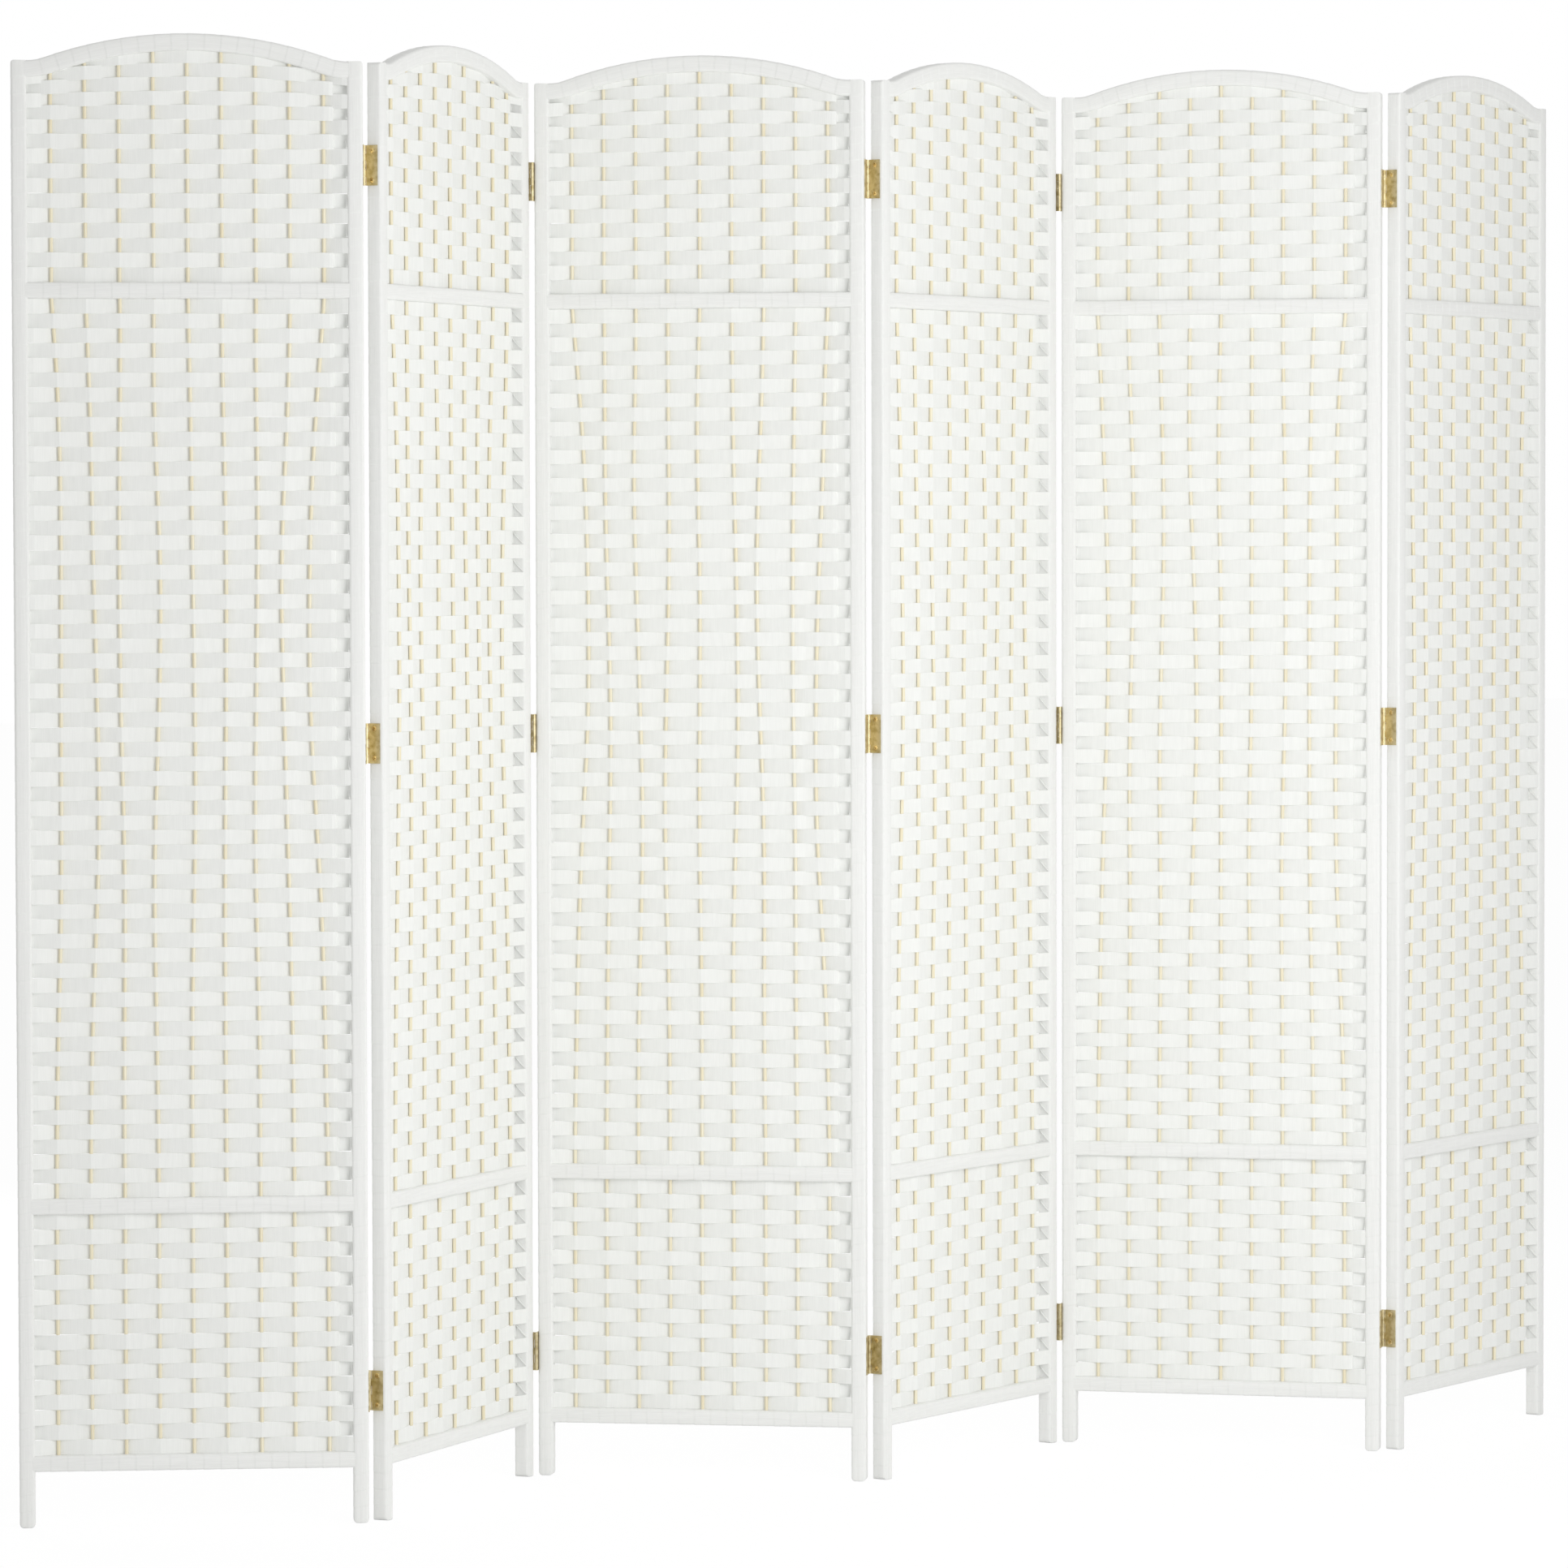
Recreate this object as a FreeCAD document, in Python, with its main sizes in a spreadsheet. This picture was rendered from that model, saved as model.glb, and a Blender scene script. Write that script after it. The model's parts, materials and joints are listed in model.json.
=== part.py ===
import FreeCAD, Part
import math
import os
import Sketcher

# Folding room divider: six framed panels of woven ribbon, hinged in a zigzag.
# Z is up from the floor, X runs along the row and Y points to its back.
doc = FreeCAD.newDocument("folding_room_divider")
sheet = doc.addObject("Spreadsheet::Sheet", "sizes")

# Driving dimensions in millimetres, angles in degrees
driving_sizes = {
    # Panel frame
    "panel_width": "398",
    "stile_height": "1669",
    "stile_width": "18",
    "frame_depth": "18",
    "edge_radius": "3",
    "foot_radius": "5",
    "shoulder_radius": "4",
    # Arched top rail
    "arch_rise": "31",
    "cove_radius": "60",
    "top_rail_height": "19.5",
    # Straight rails: heights of their middles, from the floor or down from the stile's top
    "rail_height": "18.5",
    "bottom_rail_middle": "73",
    "lower_rail_middle": "367",
    "upper_rail_drop": "260",
    # Dowels in the rail ends
    "dowel_diameter": "6",
    "dowel_length": "24",
    "dowel_end_play": "0.5",
    # Weaving rods
    "rod_diameter": "4",
    "rod_edge_gap": "26.6",
    "rod_seat": "8",
    # Woven fields
    "ribbon_thickness": "1",
    "ribbon_seat": "2.5",
    "ribbon_play": "0.3",
    # Hinges
    "hinge_height": "46",
    "leaf_width": "14",
    "leaf_thickness": "1.2",
    "leaf_play": "0.6",
    "pin_diameter": "2.3",
    "pin_play": "0.05",
    "pin_chamfer": "0.4",
    "knuckle_wall": "1.1",
    "knuckle_play": "0.3",
    "top_hinge_drop": "117",
    "middle_hinge_share": "0.535",
    "bottom_hinge_middle": "150",
    # Hinge screws
    "screw_head_diameter": "6.4",
    "screw_diameter": "3",
    "screw_length": "12",
    "screw_tip_length": "2",
    "screw_inset": "6",
    # Fits and cuts
    "fit_play": "0.15",
    "cut_overrun": "2",
    # Zigzag: turn of the first panel, then the fold at each joint
    "first_panel_turn": "-22",
    "fold_angle_one": "61.8",
    "fold_angle_two": "75.7",
    "fold_angle_three": "65.1",
    "fold_angle_four": "69.8",
    "fold_angle_five": "70.2",
}
for row, (alias, value) in enumerate(driving_sizes.items(), start=1):
    sheet.set(f"A{row}", value)
    sheet.setAlias(f"A{row}", alias)
doc.recompute()

rod_count = 9
knuckle_count = 5
fold_names = [f"fold_angle_{joint}" for joint in ("one", "two", "three", "four", "five")]
panel_count = len(fold_names) + 1

# Sizes that follow from the driving ones
half_width = "(sizes.panel_width / 2)"
half_depth = "(sizes.frame_depth / 2)"
half_stile = "(sizes.stile_width / 2)"
half_span = f"({half_width} - sizes.stile_width)"
half_rail = "(sizes.rail_height / 2)"
upper_rail_middle = "(sizes.stile_height - sizes.upper_rail_drop)"
top_rail_middle = "(sizes.stile_height - sizes.top_rail_height / 2)"
rail_middles = ("sizes.bottom_rail_middle", "sizes.lower_rail_middle", upper_rail_middle, top_rail_middle)
bottom_rail_top = f"(sizes.bottom_rail_middle + {half_rail})"
lower_rail_low = f"(sizes.lower_rail_middle - {half_rail})"
lower_rail_top = f"(sizes.lower_rail_middle + {half_rail})"
upper_rail_low = f"({upper_rail_middle} - {half_rail})"
upper_rail_top = f"({upper_rail_middle} + {half_rail})"
crown_radius = f"(({half_span}^2 + sizes.arch_rise^2) / (2 * sizes.arch_rise) - sizes.cove_radius)"
crown_middle = f"(sizes.stile_height + sizes.arch_rise - {crown_radius})"
rod_pitch = f"(2 * ({half_span} - sizes.rod_edge_gap) / {rod_count - 1})"
rod_bore_radius = "(sizes.rod_diameter / 2 + sizes.fit_play)"
ribbon_swing = "((sizes.rod_diameter + sizes.ribbon_thickness) / 2 + sizes.ribbon_play)"
ribbon_reach = f"({half_span} + sizes.ribbon_seat)"
hinge_gap = "(2 * sizes.leaf_thickness + sizes.leaf_play)"
bore_radius = "(sizes.pin_diameter / 2 + sizes.pin_play)"
knuckle_radius = f"({bore_radius} + sizes.knuckle_wall)"
pin_reach = f"({half_depth} + {knuckle_radius} + sizes.knuckle_play)"
knuckle_pitch = f"(sizes.hinge_height / {knuckle_count})"
screw_middle = f"({half_depth} - sizes.leaf_width / 2)"
screw_step = "(sizes.hinge_height / 2 - sizes.screw_inset)"
hinge_middles = (
    "(sizes.stile_height - sizes.top_hinge_drop)",
    "(sizes.stile_height * sizes.middle_hinge_share)",
    "sizes.bottom_hinge_middle",
)

across = FreeCAD.Vector(1, 0, 0)
backward = FreeCAD.Vector(0, 1, 0)
upward = FreeCAD.Vector(0, 0, 1)
along_x = FreeCAD.Rotation(upward, across)
half_turn = 180


def number(expression):
    """The value of an expression in the sheet's sizes."""
    return float(sheet.evalExpression(expression))


def placed(obj, x="0", y="0", z="0"):
    """Tie an object's place to expressions."""
    for axis, expression in zip("xyz", (x, y, z)):
        obj.setExpression(f"Placement.Base.{axis}", expression)
    return obj


def tied(obj, **expressions):
    """Tie an object's properties to expressions."""
    for name, expression in expressions.items():
        obj.setExpression(name, expression)
    return obj


def new_body(name):
    return doc.addObject("PartDesign::Body", name)


def new_sketch(body, name, plane):
    """An empty sketch on one of the body's origin planes."""
    sketch = body.newObject("Sketcher::SketchObject", name)
    support = [feature for feature in body.Origin.OriginFeatures if feature.Role == plane]
    sketch.AttachmentSupport = [(support[0], "")]
    sketch.MapMode = "FlatFace"
    return sketch


def fix_point(sketch, curve, end, x, y):
    """Tie a curve's end to expressions for its place in the sketch."""
    for kind, expression in (("DistanceX", x), ("DistanceY", y)):
        constraint = Sketcher.Constraint(kind, -1, 1, curve, end, number(expression))
        index = sketch.addConstraint(constraint)
        sketch.setExpression(f"Constraints[{index}]", expression)


def straight_outline(body, name, plane, points):
    """A closed sketch of straight sides through points given as pairs of expressions."""
    sketch = new_sketch(body, name, plane)
    corners = [FreeCAD.Vector(number(x), number(y), 0) for x, y in points]
    count = len(corners)
    for side in range(count):
        sketch.addGeometry(Part.LineSegment(corners[side], corners[(side + 1) % count]))
    for side in range(count):
        sketch.addConstraint(Sketcher.Constraint("Coincident", side, 2, (side + 1) % count, 1))
    for side, (x, y) in enumerate(points):
        fix_point(sketch, side, 1, x, y)
    return sketch


def centred_outline(body, name, plane, half_x, half_y):
    """A rectangle about the sketch's origin."""
    points = (
        (f"-{half_x}", f"-{half_y}"),
        (half_x, f"-{half_y}"),
        (half_x, half_y),
        (f"-{half_x}", half_y),
    )
    return straight_outline(body, name, plane, points)


def padded(body, sketch, length, symmetric=False):
    """Pad a sketch by an expression."""
    pad = tied(body.newObject("PartDesign::Pad", f"{sketch.Name}_pad"), Length=length)
    pad.Profile = sketch
    pad.SideType = "Symmetric" if symmetric else "One side"
    doc.recompute()
    return pad


def rounded(body, feature, wanted, radius):
    """Fillet the edges that pass a test."""
    edges = [f"Edge{i}" for i, edge in enumerate(feature.Shape.Edges, start=1) if wanted(edge)]
    fillet = tied(body.newObject("PartDesign::Fillet", f"{feature.Name}_round"), Radius=radius)
    fillet.Base = (feature, edges)
    doc.recompute()
    return fillet


def bored(body, name, radius, height, x="0", y="0", z="0", turn=None):
    """Cut a round bore that starts at a place and runs along the turned Z axis."""
    bore = body.newObject("PartDesign::SubtractiveCylinder", name)
    if turn:
        bore.Placement.Rotation = turn
    placed(tied(bore, Radius=radius, Height=height), x, y, z)
    doc.recompute()
    return bore


def rod_place(rod):
    """A rod's place across the panel."""
    return f"(({rod} - {(rod_count - 1) / 2}) * {rod_pitch})"


def rod_top(rod):
    """The height of a rod's upper end, seated in the underside of the crown."""
    inner = f"({crown_radius} - sizes.top_rail_height)"
    return f"({crown_middle} + sqrt({inner}^2 - {rod_place(rod)}^2) + sizes.rod_seat)"


def lies_along(edge, direction):
    """True for a straight edge along a direction."""
    if not isinstance(edge.Curve, Part.Line):
        return False
    return abs(abs(edge.Curve.Direction.dot(direction)) - 1) < Part.Precision.confusion()


def on_front_or_back(edge):
    """True for an edge in the plane of a frame member's front or back face."""
    box = edge.BoundBox
    flat = math.isclose(box.YMin, box.YMax, rel_tol=1e-6)
    return flat and math.isclose(abs(box.YMin), number(half_depth), rel_tol=1e-6)


def dowel_bore(body, name, face, z, way):
    """Bore for one dowel from a face along X, as deep as half a dowel with its end play."""
    depth = "(sizes.dowel_length / 2 + sizes.dowel_end_play)"
    start = f"{face} - {depth}" if way < 0 else face
    radius = "sizes.dowel_diameter / 2 + sizes.fit_play"
    return bored(body, name, radius, depth, x=start, z=z, turn=along_x)


# Stile: a square post, rounded at the foot and the outer shoulder, with a groove
# in its inner face for the woven edges and a bore for each rail's dowel.
# It is drawn as a right stile about its own middle line.
def make_stile(name, screw_side):
    body = new_body(name)
    section = centred_outline(body, f"{name}_section", "XY_Plane", half_stile, half_depth)
    post = padded(body, section, "sizes.stile_height")
    top = number("sizes.stile_height")
    foot = rounded(
        body,
        post,
        lambda edge: lies_along(edge, backward) and edge.BoundBox.ZMax < top / 2,
        "sizes.foot_radius",
    )
    shoulder = rounded(
        body,
        foot,
        lambda edge: lies_along(edge, backward)
        and math.isclose(edge.BoundBox.ZMin, top, rel_tol=1e-6)
        and edge.BoundBox.XMin > 0,
        "sizes.shoulder_radius",
    )
    rounded(body, shoulder, on_front_or_back, "sizes.edge_radius")
    groove = body.newObject("PartDesign::SubtractiveBox", f"{name}_groove")
    groove_width = "(sizes.ribbon_thickness + 2 * sizes.ribbon_play)"
    tied(
        groove,
        Length="sizes.ribbon_seat + sizes.ribbon_play + sizes.cut_overrun",
        Width=groove_width,
        Height=f"sizes.stile_height - sizes.top_rail_height - {bottom_rail_top}",
    )
    placed(groove, f"-{half_stile} - sizes.cut_overrun", f"-{groove_width} / 2", bottom_rail_top)
    for count, middle in enumerate(rail_middles, start=1):
        dowel_bore(body, f"{name}_dowel_bore_{count}", f"-{half_stile}", middle, 1)
    if screw_side:
        pilot_depth = "(sizes.screw_length - sizes.leaf_thickness + sizes.fit_play)"
        for hinge, middle in enumerate(hinge_middles, start=1):
            for end in (-1, 1):
                bored(
                    body,
                    f"{name}_pilot_{hinge}_{'low' if end < 0 else 'high'}",
                    "sizes.screw_diameter / 2 + sizes.fit_play",
                    pilot_depth,
                    x=f"{half_stile} - {pilot_depth}",
                    y=f"{screw_side} * {screw_middle}",
                    z=f"{middle} + {end} * {screw_step}",
                    turn=along_x,
                )
    return body


# Arch line: a cove at each stile and a crown between, in tangent arcs about fixed centres.
def arch_points(drop):
    """Start, middle and finish of the left cove, crown and right cove, below the outer edge by a drop."""
    span = number(half_span)
    cove = number("sizes.cove_radius")
    crown = number(crown_radius)
    cove_centre = number("sizes.stile_height") + cove
    crown_centre = number(crown_middle)
    lean = math.asin(span / (cove + crown))

    def cove_point(side, angle):
        reach = cove + drop
        return side * (span - math.sin(angle) * reach), cove_centre - math.cos(angle) * reach

    def crown_point(angle):
        reach = crown - drop
        return math.sin(angle) * reach, crown_centre + math.cos(angle) * reach

    left = [cove_point(-1, angle) for angle in (0, lean / 2, lean)]
    middle = [crown_point(angle) for angle in (lean, 0, -lean)]
    right = [cove_point(1, angle) for angle in (lean, lean / 2, 0)]
    return left, middle, right


# Top rail: its outer and inner edges are concentric, and the rods end in bores in its underside.
def make_top_rail():
    body = new_body("top_rail")
    sketch = new_sketch(body, "top_rail_outline", "XZ_Plane")
    arcs = []
    for drop in (0, number("sizes.top_rail_height")):
        lines = [Part.Arc(*[FreeCAD.Vector(x, z, 0) for x, z in line]) for line in arch_points(drop)]
        arcs.append([sketch.addGeometry(line) for line in lines])
    (outer_left, outer_crown, outer_right), (inner_left, inner_crown, inner_right) = arcs
    shoulder = number("sizes.stile_height")
    heel = shoulder - number("sizes.top_rail_height")
    ends = []
    for x in (-number(half_span), number(half_span)):
        side = Part.LineSegment(FreeCAD.Vector(x, shoulder, 0), FreeCAD.Vector(x, heel, 0))
        ends.append(sketch.addGeometry(side))
    left_end, right_end = ends
    start, finish, centre = 1, 2, 3

    def constrain(kind, *places):
        sketch.addConstraint(Sketcher.Constraint(kind, *places))

    def drive(kind, curve, expression):
        index = sketch.addConstraint(Sketcher.Constraint(kind, curve, number(expression)))
        sketch.setExpression(f"Constraints[{index}]", expression)

    for left, middle, right in arcs:
        constrain("Tangent", left, finish, middle, finish)
        constrain("Tangent", middle, start, right, start)
    constrain("Coincident", left_end, start, outer_left, start)
    constrain("Coincident", left_end, finish, inner_left, start)
    constrain("Coincident", right_end, start, outer_right, finish)
    constrain("Coincident", right_end, finish, inner_right, finish)
    constrain("Coincident", outer_left, centre, inner_left, centre)
    constrain("Coincident", outer_right, centre, inner_right, centre)
    constrain("Horizontal", outer_crown, centre, inner_crown, centre)
    for end, cove, cove_end, x in (
        (left_end, outer_left, start, f"-{half_span}"),
        (right_end, outer_right, finish, half_span),
    ):
        fix_point(sketch, end, start, x, "sizes.stile_height")
        constrain("Vertical", end)
        constrain("Vertical", cove, cove_end, cove, centre)
        drive("Distance", end, "sizes.top_rail_height")
        drive("Radius", cove, "sizes.cove_radius")
    drive("Radius", outer_crown, crown_radius)
    blank = padded(body, sketch, "sizes.frame_depth", symmetric=True)
    rounded(
        body,
        blank,
        lambda edge: on_front_or_back(edge) and not lies_along(edge, upward),
        "sizes.edge_radius",
    )
    for rod in range(rod_count):
        low = f"({rod_top(rod)} - sizes.rod_seat - sizes.top_rail_height)"
        bored(
            body,
            f"top_rail_rod_bore_{rod + 1}",
            rod_bore_radius,
            f"{rod_top(rod)} + sizes.fit_play - {low}",
            x=rod_place(rod),
            z=low,
        )
    dowel_bore(body, "top_rail_left_bore", f"-{half_span}", top_rail_middle, 1)
    dowel_bore(body, "top_rail_right_bore", half_span, top_rail_middle, -1)
    return body


# Straight rail between the stiles, drawn about its own middle.
# The rods pass through a cross rail and end in the bottom rail.
def make_rail(name, rods_pass):
    body = new_body(name)
    section = centred_outline(body, f"{name}_section", "YZ_Plane", half_depth, half_rail)
    blank = padded(body, section, f"2 * {half_span}", symmetric=True)
    rounded(body, blank, lambda edge: lies_along(edge, across), "sizes.edge_radius")
    low = f"(-{half_rail} - sizes.cut_overrun)"
    if not rods_pass:
        low = f"({half_rail} - sizes.rod_seat - sizes.fit_play)"
    bore = bored(
        body,
        f"{name}_rod_bore",
        rod_bore_radius,
        f"{half_rail} + sizes.cut_overrun - {low}",
        x=rod_place(0),
        z=low,
    )
    row = tied(
        body.newObject("PartDesign::LinearPattern", f"{name}_rod_bores"),
        Length=f"{rod_pitch} * {rod_count - 1}",
    )
    row.Originals = [bore]
    row.Direction = (section, ["N_Axis"])
    row.Occurrences = rod_count
    body.Tip = row
    doc.recompute()
    dowel_bore(body, f"{name}_left_bore", f"-{half_span}", "0", 1)
    dowel_bore(body, f"{name}_right_bore", half_span, "0", -1)
    return body


# Dowels that pin each rail's ends into the stiles.
def make_dowels():
    dowels = []
    for rail, middle in enumerate(rail_middles, start=1):
        for side, joint in (("left", f"-{half_span}"), ("right", half_span)):
            dowel = doc.addObject("Part::Cylinder", f"dowel_{rail}_{side}")
            dowel.Placement.Rotation = along_x
            tied(dowel, Radius="sizes.dowel_diameter / 2", Height="sizes.dowel_length")
            dowels.append(placed(dowel, x=f"{joint} - sizes.dowel_length / 2", z=middle))
    return dowels


# Weaving rods from the bottom rail to the top rail.
def make_rods():
    rods = []
    low = f"({bottom_rail_top} - sizes.rod_seat)"
    for rod in range(rod_count):
        stick = doc.addObject("Part::Cylinder", f"rod_{rod + 1}")
        tied(stick, Radius="sizes.rod_diameter / 2", Height=f"{rod_top(rod)} - {low}")
        rods.append(placed(stick, x=rod_place(rod), z=low))
    return rods


# Woven field: one pleated sheet on a ribbon's path, behind the first rod, in front of the
# second and so on, with its side edges seated in the stiles' grooves.
def make_field(name, rail_below, rail_above):
    low = number(f"{rail_below} + sizes.ribbon_play")
    high = number(f"{rail_above} - sizes.ribbon_play")
    half_ribbon = number("sizes.ribbon_thickness") / 2
    swing = number(ribbon_swing)
    edge = number(half_span)
    seated = number(ribbon_reach)
    path = [(-seated, 0), (-edge, 0)]
    path += [(number(rod_place(rod)), -swing if rod % 2 else swing) for rod in range(rod_count)]
    path += [(edge, 0), (seated, 0)]
    front = [FreeCAD.Vector(x, y - half_ribbon, low) for x, y in path]
    back = [FreeCAD.Vector(x, y + half_ribbon, low) for x, y in reversed(path)]
    section = Part.Face(Part.makePolygon(front + back + front[:1]))
    field = doc.addObject("Part::Feature", name)
    field.Shape = section.extrude(upward * (high - low))
    return field


# The upper field is trimmed to the underside of the arch.
def make_upper_field(rail_below):
    blank = make_field("upper_field_blank", rail_below, "sizes.stile_height + sizes.arch_rise")
    low = number(rail_below)
    depth = number("sizes.frame_depth")
    arch = arch_points(number("sizes.top_rail_height + sizes.ribbon_play"))
    arcs = [Part.Arc(*[FreeCAD.Vector(x, -depth / 2, z) for x, z in line]).toShape() for line in arch]
    spring = arch[0][0][1]
    edge = number(half_span)
    seated = number(ribbon_reach)
    left_side = [(-edge, spring), (-seated, spring), (-seated, low)]
    right_side = [(seated, low), (seated, spring), (edge, spring)]
    border = Part.makePolygon([FreeCAD.Vector(x, -depth / 2, z) for x, z in left_side + right_side])
    outline = Part.Face(Part.Wire(Part.__sortEdges__(arcs + border.Edges)))
    trim = doc.addObject("Part::Feature", "upper_field_outline")
    trim.Shape = outline.extrude(backward * depth)
    field = doc.addObject("Part::Common", "upper_field")
    field.Base = blank
    field.Tool = trim
    return field


# Hinge leaf, drawn for a right end face with the pin at the back: a plate on the face,
# knuckles that reach round the pin from their own slots, and two countersunk holes.
def make_leaf(name, slots):
    body = new_body(name)
    plate = body.newObject("PartDesign::AdditiveBox", f"{name}_plate")
    tied(plate, Length="sizes.leaf_thickness", Width="sizes.leaf_width", Height="sizes.hinge_height")
    placed(plate, "0", f"{half_depth} - sizes.leaf_width", "-sizes.hinge_height / 2")
    height = f"{knuckle_pitch} - sizes.knuckle_play"
    for slot in slots:
        low = f"{slot} * {knuckle_pitch} - (sizes.hinge_height - sizes.knuckle_play) / 2"
        neck = body.newObject("PartDesign::AdditiveBox", f"{name}_neck_{slot}")
        tied(neck, Length="sizes.leaf_thickness", Width=f"{pin_reach} - {half_depth}", Height=height)
        placed(neck, "0", half_depth, low)
        knuckle = body.newObject("PartDesign::AdditiveCylinder", f"{name}_knuckle_{slot}")
        tied(knuckle, Radius=knuckle_radius, Height=height)
        placed(knuckle, f"{hinge_gap} / 2", pin_reach, low)
    doc.recompute()
    bored(
        body,
        f"{name}_pin_bore",
        bore_radius,
        "sizes.hinge_height + 2 * sizes.cut_overrun",
        x=f"{hinge_gap} / 2",
        y=pin_reach,
        z="-sizes.hinge_height / 2 - sizes.cut_overrun",
    )
    for end in (-1, 1):
        sink = body.newObject("PartDesign::SubtractiveCone", f"{name}_{'low' if end < 0 else 'high'}_sink")
        sink.Placement.Rotation = along_x
        tied(
            sink,
            Radius1="sizes.screw_diameter / 2 + sizes.fit_play",
            Radius2="sizes.screw_head_diameter / 2 + sizes.fit_play",
            Height="sizes.leaf_thickness",
        )
        placed(sink, "0", screw_middle, f"{end} * {screw_step}")
    doc.recompute()
    return body


def make_turned(name, points):
    """A solid of revolution about Z from half its outline."""
    body = new_body(name)
    sketch = straight_outline(body, f"{name}_half_outline", "XZ_Plane", points)
    turned = body.newObject("PartDesign::Revolution", f"{name}_turned")
    turned.Profile = sketch
    turned.ReferenceAxis = (sketch, ["V_Axis"])
    doc.recompute()
    return body


# Hinge pin with chamfered ends, about its own middle.
def make_pin():
    radius = "(sizes.pin_diameter / 2)"
    nose = f"({radius} - sizes.pin_chamfer)"
    end = "(sizes.hinge_height / 2)"
    side = f"({end} - sizes.pin_chamfer)"
    points = (
        ("0", f"-{end}"),
        (nose, f"-{end}"),
        (radius, f"-{side}"),
        (radius, side),
        (nose, end),
        ("0", end),
    )
    return make_turned("hinge_pin", points)


# Countersunk screw, its head flush with the origin and its point down.
def make_screw():
    shank = "sizes.screw_diameter / 2"
    points = (
        ("0", "0"),
        ("0", "-sizes.screw_length"),
        (shank, "sizes.screw_tip_length - sizes.screw_length"),
        (shank, "-sizes.leaf_thickness"),
        ("sizes.screw_head_diameter / 2", "0"),
    )
    return make_turned("hinge_screw", points)


def shift(x="0", y="0", z="0"):
    """A placement moved by expressions."""
    return FreeCAD.Placement(FreeCAD.Vector(number(x), number(y), number(z)), FreeCAD.Rotation())


def turned_about(axis, angle):
    """A placement turned about an axis through the origin."""
    return FreeCAD.Placement(FreeCAD.Vector(), FreeCAD.Rotation(axis, angle))


def copy_of(master, name, placement):
    """A linked copy of a piece at a place in its panel."""
    copy = doc.addObject("App::Link", name)
    copy.LinkedObject = master
    copy.Placement = placement
    return copy


nodes = []


def add_node(name, pieces, placement):
    """One named sub-part from pieces in panel coordinates, at the panel's place."""
    node = doc.addObject("Part::Compound", name)
    node.Label = name
    node.Links = pieces
    node.Placement = placement
    nodes.append(node)


# Places of the panels: a pin stands behind the first joint, before the second and so on,
# and each panel turns about the pin that it shares with the panel before it.
def pin_side(joint):
    return 1 if joint % 2 == 0 else -1


def pin_place(joint, end):
    """The pin of a joint, seen from the panel that has it at its left (-1) or right (1) end."""
    return shift(f"{end} * ({half_width} + {hinge_gap} / 2)", f"{pin_side(joint)} * {pin_reach}")


def chain_places():
    """Each panel's placement, with the middle of the row's box at the origin."""
    places = [turned_about(upward, number("sizes.first_panel_turn"))]
    for joint, fold in enumerate(fold_names):
        turn = turned_about(upward, pin_side(joint) * number(f"sizes.{fold}"))
        places.append(places[-1] * pin_place(joint, 1) * turn * pin_place(joint, -1).inverse())
    corner_x = f"({half_width} - sizes.edge_radius)"
    corner_y = f"({half_depth} - sizes.edge_radius)"
    rounds = []
    for joint, place in enumerate(places):
        for x in (-1, 1):
            for y in (-1, 1):
                corner = place * shift(f"{x} * {corner_x}", f"{y} * {corner_y}")
                rounds.append((corner.Base, number("sizes.edge_radius")))
        if joint < len(fold_names):
            rounds.append(((place * pin_place(joint, 1)).Base, number(knuckle_radius)))
    lows = [min(base[axis] - radius for base, radius in rounds) for axis in (0, 1)]
    highs = [max(base[axis] + radius for base, radius in rounds) for axis in (0, 1)]
    centre = FreeCAD.Vector((lows[0] + highs[0]) / 2, (lows[1] + highs[1]) / 2, 0)
    to_centre = FreeCAD.Placement(-centre, FreeCAD.Rotation())
    return [to_centre * place for place in places]


# Leaves and screws of one panel end, with the turn that brings a leaf to that end and face.
def hinge_pieces(panel, joint, end, leaf):
    face_turns = {
        (1, 1): turned_about(upward, 0),
        (1, -1): turned_about(across, half_turn),
        (-1, 1): turned_about(backward, half_turn),
        (-1, -1): turned_about(upward, half_turn),
    }
    side = pin_side(joint)
    screw_turn = FreeCAD.Placement(FreeCAD.Vector(), FreeCAD.Rotation(upward, across * end))
    leaves = []
    screws = []
    for hinge, middle in enumerate(hinge_middles, start=1):
        name = f"panel_{panel}_joint_{joint + 1}_hinge_{hinge}"
        face = shift(f"{end} * {half_width}", z=middle)
        leaves.append(copy_of(leaf, f"{name}_leaf", face * face_turns[end, side]))
        for step in (-1, 1):
            head_x = f"{end} * sizes.leaf_thickness"
            seat = shift(head_x, f"{side} * {screw_middle}", f"{step} * {screw_step}")
            label = f"{name}_{'low' if step < 0 else 'high'}_screw"
            screws.append(copy_of(screw, label, face * seat * screw_turn))
    return leaves, screws


# Master pieces, drawn once and shared by the panels
stiles = {1: make_stile("stile_pins_behind", 1), -1: make_stile("stile_pins_before", -1)}
plain_stile = make_stile("stile_without_hinges", 0)
top_rail = make_top_rail()
cross_rail = make_rail("cross_rail", True)
bottom_rail = make_rail("bottom_rail", False)
dowels = make_dowels()
rods = make_rods()
fields = [
    make_field("lower_field", bottom_rail_top, lower_rail_low),
    make_field("middle_field", lower_rail_top, upper_rail_low),
    make_upper_field(upper_rail_top),
]
outer_leaf = make_leaf("three_knuckle_leaf", range(0, knuckle_count, 2))
inner_leaf = make_leaf("two_knuckle_leaf", range(1, knuckle_count, 2))
pin = make_pin()
screw = make_screw()

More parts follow.
